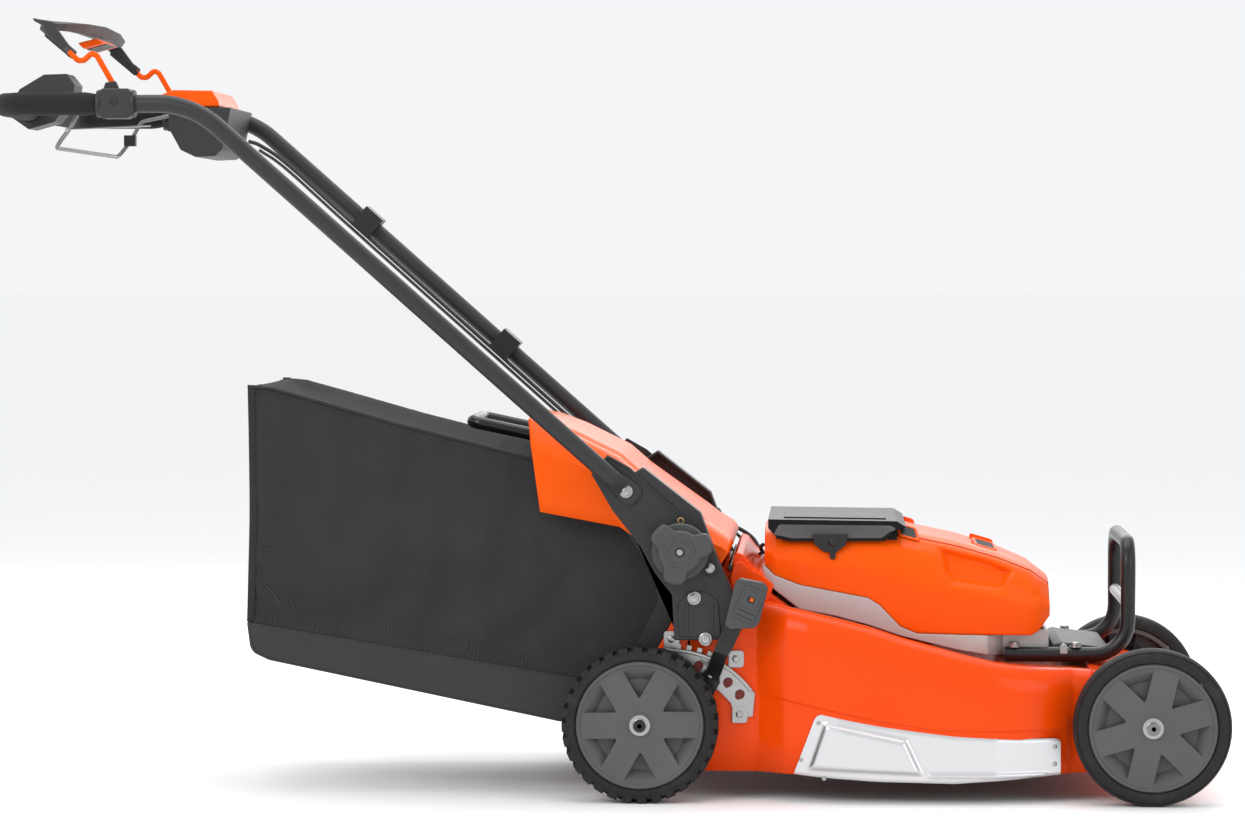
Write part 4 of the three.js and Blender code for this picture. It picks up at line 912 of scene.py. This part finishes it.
FOLD = (54, 338)
for word, side in SIDES:
    body = f"knob_{word}"
    star = []
    for i in range(120):
        a = 2 * math.pi * i / 120
        c = 0.5 + 0.5 * math.cos(3 * (a - 0.31))
        star.append((a, 29.0 + 15.0 * smoothstep(0.32, 0.92, c)))

    def ring(y, inset):
        return [P(FOLD[0] + (r - inset) * math.cos(a), side * y, FOLD[1] + (r - inset) * math.sin(a)) for a,
                r in star]
    rows = [(277, 6), (277, 1.2), (278, 0.2), (280, 0), (287, 0), (289.4, 0.9), (291, 2.8), (291.6, 5.6),
            (291.4, 10), (290.6, 13)]
    loft(f"vis_fold_knob_{word}", [ring(y, i) for y, i in rows], GREY, body, node=f"fold_knob_{word}",
         sharp=50)
    lathe(f"knob_skirt_{word}", [(6, 271), (36, 271), (38, 272.5), (38, 276), (36.5, 278.4), (6, 278.4)],
          *FOLD, GREY, body, y_sign=side, sides=72, bevel=0.6)
    lathe(f"knob_ring_{word}", [(16, 289.5), (16, 291.2), (17.2, 292.0), (19.4, 292.0), (20.6, 291.0),
                                (20.6, 289.5)], *FOLD, GREY, body, y_sign=side, sides=64, bevel=0.4)
    # the hexagon socket is a dark sheet of painted shade
    stud(f"knob_socket_{word}", FOLD[0], side * 290.4, FOLD[1], 7.2, 0.8, HOLE_SHADE, body, side, hexagon=True)
    stud(f"knob_stud_{word}", FOLD[0], side * 290.6, FOLD[1], 4.2, 1.4, ZINC, body, side, dome=1)
    tube(f"knob_neck_{word}", [P(FOLD[0], side * 253.3, FOLD[1]), P(FOLD[0], side * 272, FOLD[1])], 19, BLACK,
         body, sides=40)
    tube(f"knob_shank_{word}", [P(FOLD[0], side * 236, FOLD[1]), P(FOLD[0], side * 254, FOLD[1])], 6, ZINC,
         body, sides=24)
    from_node(f"strap_{word}", CHARCOAL, bevel=1.0, segments=3)
    cross_bolt(f"vis_strap_bolt_{word}", -19, side * 257.4, 417, 6.6, ZINC, "handle", side, washer=8.8)
    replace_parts(bpy.data.objects[f"vis_strap_bolt_{word}"], f"strap_bolt_{word}")

HANDLE = [(-35, -265, 433), (-601, -265, 935), (-860, -265, 935), (-860, 265, 935), (-601, 265, 935),
          (-35, 265, 433)]
path = line3(HANDLE, [0, 120, 42, 42, 120, 0], 16)
tube("vis_handle_tube", path, 12, CHARCOAL, "handle", sides=36, node="handle_tube")
for word, side in SIDES:
    # pressed-flat end of the tube, rounded where it laps the strap
    rings = []
    n = Vector((0.664, 0.748))
    for t, wide, thick in ((0, 12, 12), (0.12, 13, 10), (0.25, 14.6, 6.4), (0.38, 15.6, 3.4),
                           (0.6, 15.8, 2.4), (0.68, 14.0, 2.2), (0.74, 9.0, 1.8)):
        c = Vector((-35, 433)).lerp(Vector((6, 396.6)), t)
        y = 265 - 9.6 * smoothstep(0, 0.4, t)
        rings.append([P(c.x + n.x * wide * math.cos(a), side * (y + thick * math.sin(a) * 0.92),
                        c.y + n.y * wide * math.cos(a)) for a in turn(32)])
    loft(f"handle_foot_{word}", rings, CHARCOAL, "handle", sharp=50)
    tube(f"strap_edge_{word}", line3([(-62, side * 253.2, 442), (-44, side * 253.2, 464),
                                      (-16, side * 253.2, 447), (52, side * 253.2, 386)], [0, 6, 6, 0]), 1.5,
         CHARCOAL, "handle", sides=10)

# foam sleeve over the rear of the loop, with its two end lips
grip = [p for p in path if p.x < P(-800, 0, 0).x]
grip = [P(-729, -265, 935)] + grip + [P(-729, 265, 935)]
dense = []
for a, b in zip(grip, grip[1:]):
    n = max(1, int((b - a).length / 0.008))
    dense += [a.lerp(b, k / n) for k in range(n)]
dense.append(grip[-1])
radii = [15.5 + 0.12 * math.sin(i * 0.9) for i in range(len(dense))]
for k, r in enumerate((13.2, 14.8, 15.6)):
    radii[k] = radii[-1 - k] = r
tube("vis_grip_sleeve", dense, radii, FOAM, "handle", sides=36, node="grip_sleeve")

for word, side in SIDES:
    # moulded clamp round the tube with raised end collars, a boss and a bore drawn as a dark disc of painted
    # shade
    pts = [(-724, 921), (-724, 951), (-718, 955), (-684, 955), (-678, 950), (-678, 921), (-684, 915),
           (-718, 915)]
    prism(f"vis_bail_clamp_{word}", rounded(pts, 3), side * 246, side * 281, POD, "handle", bevel=3.2,
          segments=4, node=f"bail_clamp_{word}")
    for k, (a, b) in enumerate(((-727.5, -721.5), (-681.5, -675.5))):
        tube(f"clamp_collar_{word}_{k}", [P(a, side * 265, 935), P(b, side * 265, 935)], 18.4, POD, "handle",
             sides=40, bevel=1.6, segments=3)
    stud(f"clamp_bore_{word}", -702, side * 280.6, 938, 5.2, 0.6, HOLE_SHADE, "handle", side)
    lathe(f"clamp_bore_rim_{word}", [(5.2, 280.4), (6.6, 280.4), (6.4, 281.6), (5.4, 281.6)], -702, 938, POD,
          "handle", y_sign=side, sides=32)
    prism(f"clamp_post_{word}", rounded([(-722, 952), (-718, 964), (-704, 966), (-698, 952)], 3),
          side * 249.5, side * 257, POD, "handle", bevel=1.2)
    wire = [(-706, 944), (-707, 958), (-731, 1000), (-738, 1004), (-749, 994), (-757, 994), (-769, 1006)]
    pts = [P(x, side * 244.5, z) for x, z in wire]
    smooth = rounded(pts, [0, 0.006, 0.007, 0.007, 0.006, 0.006, 0], 8, closed=False)
    tube(f"vis_bail_wire_{word}", smooth, 3.9, SHELL, "stop_bail", sides=20, node=f"bail_wire_{word}")
    # plate arm between the wire and the crossbar: light outer edge over a dark core
    arm = [(-757, 1005), (-765, 998), (-809, 1036), (-806, 1043), (-815, 1052)]
    prism(f"bail_arm_outer_{word}", rounded(arm, [3, 3, 3, 3, 3]), side * 246.4, side * 243.4, GREY,
          "stop_bail", bevel=0.9, segments=3)
    prism(f"bail_arm_core_{word}", rounded([(-759, 1001), (-766, 996), (-803, 1027), (-800, 1036)], 3),
          side * 244.0, side * 238.5, BLACK, "stop_bail", bevel=0.9)

from_node("bail_crossbar", POD, bevel=1.6, segments=3, slot="grey_plastic")
from_node("bail_trigger", SHELL, bevel=1.6, segments=3)
strip("trigger_pad", [(-756.4, 1028.4), (-784.8, 1020.4)], 34, 1.2, GREY, "bail_trigger", bevel=0.4, radius=0,
      down=-1)

from_node("drive_bail", STEEL, bevel=0.3)
from_node("drive_bail_clip", BLACK, bevel=1.0, segments=3)
stud("drive_clip_screw", -772.5, -242, 901, 3.0, 2.0, ZINC, "drive_bail", -1, dome=1)

from_node("switch_pod", POD, bevel=5.0, segments=4)
from_node("control_box", POD, bevel=3.0, segments=4)
from_node("control_panel", SHELL, bevel=3.0, segments=4)
from_node("start_button", GREEN, bevel=1.2, segments=3)
for word in ("upper", "lower"):
    from_node(f"cable_clip_{word}", BLACK, bevel=0.9, segments=3)

# ---------------------------------------------------------------- flap, hinge, blade and hidden pieces

# the steel hinge rod is drawn in black enamel so that it reads as the dark seam between flap and deck:
# painted shade
from_node("flap_hinge_rod", BLACK_COAT, bevel=0.3, slot="dark_steel")
FLAP_TOP = [(122, 340), (121, 345), (116, 352), (73, 378), (-6, 434.5), (-34, 459), (-97, 490), (-155.5, 512)]
FLAP_LOW = [(104, 312), (40, 316), (-30, 366), (-138, 386)]


def point_along(line, t):
    """Point and direction at fraction t of a polyline's length."""
    pts = [Vector(p) for p in line]
    spans = [(b - a).length for a, b in zip(pts, pts[1:])]
    s = t * sum(spans)
    for a, b, span in zip(pts, pts[1:], spans):
        if s <= span + 1e-6:
            return a.lerp(b, s / span), (b - a).normalized()
        s -= span
    return pts[-1], (pts[-1] - pts[-2]).normalized()


rows = []
for k in range(61):
    t = k / 60
    c, d = point_along(FLAP_TOP, t)
    low, _ = point_along(FLAP_LOW, t)
    up = Vector((-d.y, d.x))
    up = up if up.y > 0 else -up
    bulge = 4.0 * smoothstep(0.08, 0.2, t) * (1 - smoothstep(0.93, 0.99, t))
    half = [(0, bulge), (60, bulge), (110, bulge), (138, bulge), (143, bulge * 0.4), (148, 0), (160, 0),
            (168, -1.5)]
    pts = [(c.x + up.x * h, y, c.y + up.y * h) for y, h in half]
    height = (low - c).length
    fold = c.lerp(low, min(0.34, 40.0 / max(height, 1.0)))
    for f in (0.2, 0.4, 0.6, 0.8, 1.0):
        p = c.lerp(fold, f)
        pts.append((p.x, 168 + 37 * min(1.0, f * 1.02) ** 0.8, p.y))
    for f in (0.06, 0.3, 0.6, 1.0):
        p = fold.lerp(low, f)
        pts.append((p.x, 205, p.y))
    rows.append([P(x, -y, z) for x, y, z in reversed(pts)] + [P(x, y, z) for x, y, z in pts[1:]])
loft("vis_rear_flap", rows, SHELL, "flap", closed_ring=False, caps=False, node="rear_flap", shell=3.0,
     sharp=30)

from_node("blade", STEEL, bevel=0.6)
from_node("blade_hub", STEEL, bevel=0.8)
from_node("motor_stator", COPPER, bevel=1.5)
from_node("control_module", BLACK, bevel=2.0)
for word, side in SIDES:
    from_node(f"battery_pack_{word}", BATTERY, bevel=3.0, segments=3)
    for k in range(3):
        prism(f"battery_rib_{word}_{k}", [(196, 352), (196, 353.2), (276, 353.2), (276, 352)],
              side * (22 + 26 * k), side * (28 + 26 * k), GREY, "chassis", bevel=0.5)


# ---------------------------------------------------------------- grass bag

BAG_TOP = [(-539, 556), (-505, 553), (-439, 535), (-333, 505), (-221, 477), (-154, 459), (-62, 428),
           (-40, 412)]
BAG_OUTLINE = [(-540, 231), (-540, 556)] + BAG_TOP[1:] + [(46, 292), (22, 208), (-6, 143.5)]
BAG_HALF = 177.0
BAG_REAR = -540.0
CLOTH_FRAMES = 26


def bag_shell():
    """Closed cloth box, cut into small squares so that it can sag and crease."""
    outline = rounded(BAG_OUTLINE, [0, 10, 20, 60, 60, 60, 60, 30, 12, 14, 20, 0], 3)
    rings = []
    for y, inset in ((-BAG_HALF, 3.0), (-BAG_HALF + 1.2, 1.0), (-BAG_HALF + 5, 0.0), (BAG_HALF - 5, 0.0),
                     (BAG_HALF - 1.2, 1.0), (BAG_HALF, 3.0)):
        mid = Vector((-270, 330))
        ring = []
        for p in outline:
            d = (mid - p).normalized() if p.y > 235 else Vector((0, 0))
            q = p + d * inset
            ring.append(P(q.x, y, q.y))
        rings.append(ring)
    bm = rings_mesh(rings)
    # planes that cut the box into squares: axis, first, last and spacing in metres
    for axis, lo, hi, step in ((0, -0.53, 0.07, 0.012), (2, 0.15, 0.56, 0.012), (1, -0.165, 0.166, 0.015)):
        n = int((hi - lo) / step)
        for k in range(n + 1):
            co, no = Vector((0, 0, 0)), Vector((0, 0, 0))
            co[axis], no[axis] = lo + k * step, 1.0
            bmesh.ops.bisect_plane(bm, geom=bm.verts[:] + bm.edges[:] + bm.faces[:], plane_co=co, plane_no=no,
                                   dist=1e-5)
    bmesh.ops.remove_doubles(bm, verts=bm.verts, dist=5e-4)
    bmesh.ops.triangulate(bm, faces=[f for f in bm.faces if len(f.verts) > 4])
    return bm


def base_line(x):
    """Height of the seam between the cloth and the base tray."""
    return 230.5 + (x - BAG_REAR) * (143.0 - 230.5) / 534


def collar_line(x, z):
    """Distance behind the stiff front collar, along the bag."""
    return -60 - 44 * max(0.0, min(1.0, (z - 150) / 270)) - x


bm = bag_shell()
bag = finish_mesh("vis_bag_fabric", bm, CLOTH, None, node="bag_fabric", sharp=55)
top_table = sorted(BAG_TOP)
held = bag.vertex_groups.new(name="held")
for v in bag.data.vertices:
    x, y, z = v.co.x / MM - AXLE, v.co.y / MM, v.co.z / MM
    side_edge = BAG_HALF - abs(y)
    up = along(top_table, x) - z if x < -40 else 60
    weight = 0.0
    if z - base_line(x) < 7 or collar_line(x, z) < 0:
        weight = 1.0
    elif side_edge < 14 and up < 14:
        weight = 0.9
    elif side_edge < 14 and x < BAG_REAR + 14:
        weight = 0.35
    elif up < 12 and x < BAG_REAR + 25:
        weight = 0.5
    if weight:
        held.add([v.index], weight, "REPLACE")

cloth = bag.modifiers.new("cloth", "CLOTH")
s = cloth.settings
s.quality, s.mass, s.air_damping = 6, 0.35, 4.0
s.tension_stiffness = s.compression_stiffness = 22
s.shear_stiffness, s.bending_stiffness = 8, 1.6
s.vertex_group_mass = "held"
s.pin_stiffness = 2.0
s.shrink_min = -0.012
s.use_pressure, s.uniform_pressure_force = True, -0.25
cloth.collision_settings.use_collision = False
cloth.point_cache.frame_start, cloth.point_cache.frame_end = 1, CLOTH_FRAMES
for frame_no in range(1, CLOTH_FRAMES + 1):
    bpy.context.scene.frame_set(frame_no)
graph = bpy.context.evaluated_depsgraph_get()
settled = bpy.data.meshes.new_from_object(bag.evaluated_get(graph))
bag.modifiers.clear()
settled.name = "bag_settled"
bag.data = settled
bpy.context.scene.frame_set(1)

# the cloth keeps inside its sides; small creases run over the settled shape
for v in bag.data.vertices:
    x, y, z = v.co.x / MM - AXLE, v.co.y / MM, v.co.z / MM
    edge = smoothstep(4, 60, z - base_line(x)) * smoothstep(0, 50, collar_line(x, z))
    if abs(y) > BAG_HALF - 40:
        a = 0.8 * math.sin(x * 0.021 + z * 0.034 + (1.3 if y > 0 else 0)) + 0.5 * math.sin(x * 0.05
                - z * 0.043)
        a += 0.35 * math.sin(z * 0.11 + x * 0.017)
        hollow = 5.0 * edge * smoothstep(0, 70, along(top_table, x) - z) * smoothstep(0, 60, x + 540)
        y -= math.copysign(max(0.0, hollow + 1.1 * a * edge), y)
    if x < BAG_REAR + 25:
        x += 4.5 * smoothstep(235, 330, z) * smoothstep(556, 470, z)
        x += 0.5 * math.sin(z * 0.07 + y * 0.03)
    v.co = P(max(x, -541.0), max(-178.5, min(178.5, y)), z)
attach(bag, "grass_bag")

# piping along the side seams, and a turned strip down the rear edge
for word, side in SIDES:
    seam = [P(x, side * (BAG_HALF + 0.2), z - 3.0) for x, z in BAG_TOP[:-1]]
    tube(f"bag_piping_{word}", curve(seam), 1.7, BINDING, "grass_bag", sides=10)
    strip_pts = [(-538.5, 556), (-537, 470), (-536.5, 380), (-538.5, 300), (-540.5, 233)]
    row = []
    for x, z in curve(strip_pts):
        row.append([P(x - 0.6, side * 168, z), P(x - 0.9, side * 177.6, z), P(x + 0.6, side * 178.6, z),
                    P(x + 8.5, side * 177.9, z), P(x + 9.3, side * 176.5, z)])
    loft(f"bag_edge_strip_{word}", row, BINDING, "grass_bag", closed_ring=False, caps=False, shell=1.0,
         sharp=70)
    stitches = bmesh.new()
    line = curve(BAG_TOP[:-1], 8)
    for last, p in zip(line, line[1:]):
        n = max(1, int((p - last).length / 5.0))
        for j in range(n):
            a, b = last.lerp(p, j / n), last.lerp(p, (j + 0.55) / n)
            piece = tube_mesh([P(a.x, side * 177.6, a.y - 7.5), P(b.x, side * 177.9, b.y - 7.5)], 0.45, 6)
            tmp = bpy.data.meshes.new("tmp")
            piece.to_mesh(tmp)
            piece.free()
            stitches.from_mesh(tmp)
            bpy.data.meshes.remove(tmp)
    finish_mesh(f"bag_stitching_{word}", stitches, THREAD, "grass_bag")
    # stiff smooth collar at the front of the bag
    collar = [(-40, 410), (66, 300), (58, 278), (24, 204), (-5, 147), (-38, 155), (-8, 204), (20, 262),
              (16, 298), (-54, 405)]
    prism(f"bag_collar_{word}", rounded(collar, [3, 4, 8, 6, 3, 3, 10, 10, 10, 3], 5), side * 176.5,
          side * 179.2, POD, "grass_bag", bevel=0.9)

# moulded base tray with a rolled rim
BASE = [(-541, 231), (-538, 199), (-533, 190), (-512, 180), (-113, 98), (-60, 95), (-32, 106), (-6, 142.2)]
rows = []
for y, k in ((-179.5, 5), (-179.2, 2.0), (-177.5, 0.6), (-173, 0.0), (173, 0.0), (177.5, 0.6), (179.2, 2.0),
             (179.5, 5)):
    line = rounded(BASE, [0, 16, 16, 30, 60, 30, 20, 0], 6, closed=False)
    out = []
    for i, p in enumerate(line):
        d = Vector((-270, 300)) - p
        d.normalize()
        lift = k if 0 < i < len(line) - 1 else 0
        q = p + d * lift
        out.append(P(q.x, y, q.y))
    rows.append(out)
loft("vis_bag_base", rows, POD, "grass_bag", closed_ring=False, caps=False, node="bag_base", shell=2.0,
     sharp=50)
for word, side in SIDES:
    wall = rounded(BASE, [0, 16, 16, 30, 60, 30, 20, 0], 6)
    wall = [Vector((-270, 300)) + (p - Vector((-270, 300))) * (1
            - 5 / max(60, (p - Vector((-270, 300))).length)) if 0 < i < len(wall) - 1 else p for i,
            p in enumerate(wall)]
    prism(f"bag_base_wall_{word}", [(p.x, p.y) for p in wall], side * 177.2, side * 179.5, POD, "grass_bag",
          bevel=0.8)
    tube(f"bag_base_bead_{word}", [P(-540, side * 178.4, 230.8), P(-274, side * 178.4, 187.2),
                                   P(-8, side * 178.4, 143.6)], 1.8, POD, "grass_bag", sides=10)

handle_path = line3([(-112, -85, 449), (-112, -85, 476), (-240, -85, 503), (-240, 85, 503), (-112, 85, 476),
                     (-112, 85, 449)], [0, 14, 12, 12, 14, 0], 8)
tube("vis_bag_handle", handle_path, 8.8, GLOSSY, "grass_bag", sides=28, node="bag_handle")
for word, side in SIDES:
    prism(f"bag_handle_foot_{word}", rounded([(-146, 456), (-144, 464), (-84, 446), (-84, 436)], 3),
          side * 74, side * 96, GLOSSY, "grass_bag", bevel=1.6, segments=3)

# ---------------------------------------------------------------- cables

UPPER = [(-598.5, 238, 900), (-580, 243, 893), (-539, 244.5, 864), (-436, 244.5, 771), (-224, 244.5, 582),
         (-62, 244.5, 437)]
LOWER = [(-36, 212, 413), (10, 212, 380), (63, 212, 352), (112, 213, 340), (140, 209, 324), (153, 196, 305),
         (157, 174, 300), (157, 130, 308), (155, 85, 318), (158.5, 66, 323)]
control_cable = curve([P(*p) for p in UPPER + [(-50, 230, 424)] + LOWER], 9)
whole = tube("vis_control_cable", control_cable, 2.9, CABLE, None, sides=14)
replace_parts(whole, "upper_cable", "lower_cable")
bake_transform(whole)
second = [P(x - 3, y - 3, z - 5.5) for x, y, z in UPPER[1:] + [(-50, 230, 424)] + LOWER[:4]]
second += [P(134, 205, 312), P(146, 190, 298), P(151, 170, 294), P(152, 120, 300), P(153, 84, 308),
           P(157, 70, 312)]
other = tube("drive_cable", curve(second, 9), 2.3, CABLE, None, sides=12)
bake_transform(other)
tube("drive_bail_wire", [P(-772, -238, 902), P(-700, -226, 905), P(-664, -215, 907)], 1.1, ZINC, "drive_bail",
     sides=8)
tube("cable_ferrule", [P(-62, 238.5, 440), P(-47, 238.5, 427)], 5.0, ZINC, "handle", sides=24, bevel=0.6)


# ---------------------------------------------------------------- everything else, from the frame

DONE = {n for o in bpy.data.objects for n in o.get("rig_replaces", [])}
LOOK = {"front_bar": BLACK_COAT, "front_plate": SATIN, "handle_bracket_right": CHARCOAL}
for n in sorted(NODES):
    if n not in DONE:
        from_node(n, LOOK.get(n, CHARCOAL), slot=None)


# ---------------------------------------------------------------- stage

scene = bpy.context.scene
scene.view_settings.view_transform = "Standard"
FLOOR_REACH = 80.0
floor_mesh = bpy.data.meshes.new("floor")
bm = rings_mesh([[Vector((x, y, 0)) for y in (-FLOOR_REACH, FLOOR_REACH)]
                 for x in (-FLOOR_REACH, FLOOR_REACH)], closed_ring=False, caps=False)
bmesh.ops.recalc_face_normals(bm, faces=bm.faces)
bm.to_mesh(floor_mesh)
bm.free()
floor = bpy.data.objects.new("floor", floor_mesh)
scene.collection.objects.link(floor)
floor_mesh.materials.append(material("studio_floor", (0.97, 0.97, 0.97), 0.7, blotch=0.01, grain=0.02))


def area_light(name, where, target, size, power, size_y=None):
    lamp = bpy.data.lights.new(name, "AREA")
    lamp.shape = "RECTANGLE"
    lamp.size, lamp.size_y, lamp.energy = size, size_y or size, power
    obj = bpy.data.objects.new(name, lamp)
    obj.location = where
    obj.rotation_euler = (Vector(target) - Vector(where)).to_track_quat("-Z", "Y").to_euler()
    scene.collection.objects.link(obj)


area_light("overhead", (0.1, 0.3, 3.2), (0.1, 0.0, 0.3), 3.2, 46, 2.0)
area_light("key", (-1.9, -2.8, 2.3), (0.1, 0.0, 0.4), 1.6, 42)
area_light("fill", (2.8, -2.4, 1.4), (0.2, 0.0, 0.4), 1.6, 16)
area_light("back", (0.6, 2.6, 1.9), (0.0, 0.0, 0.5), 2.2, 28)

world = bpy.data.worlds.new("studio")
scene.world = world
world.use_nodes = True
world.node_tree.nodes["Background"].inputs["Color"].default_value = (0.975, 0.985, 1.0, 1)
world.node_tree.nodes["Background"].inputs["Strength"].default_value = 0.93

camera_data = bpy.data.cameras.new("camera")
camera_data.lens, camera_data.sensor_width, camera_data.sensor_fit = 113.55, 36.0, "HORIZONTAL"
camera_data.clip_end = 200.0
camera = bpy.data.objects.new("camera", camera_data)
camera.location = (0.3008, -5.4897, 0.7234)
camera.rotation_euler = (math.radians(90 - 2.231), 0.0, math.radians(2.993))
scene.collection.objects.link(camera)
scene.camera = camera
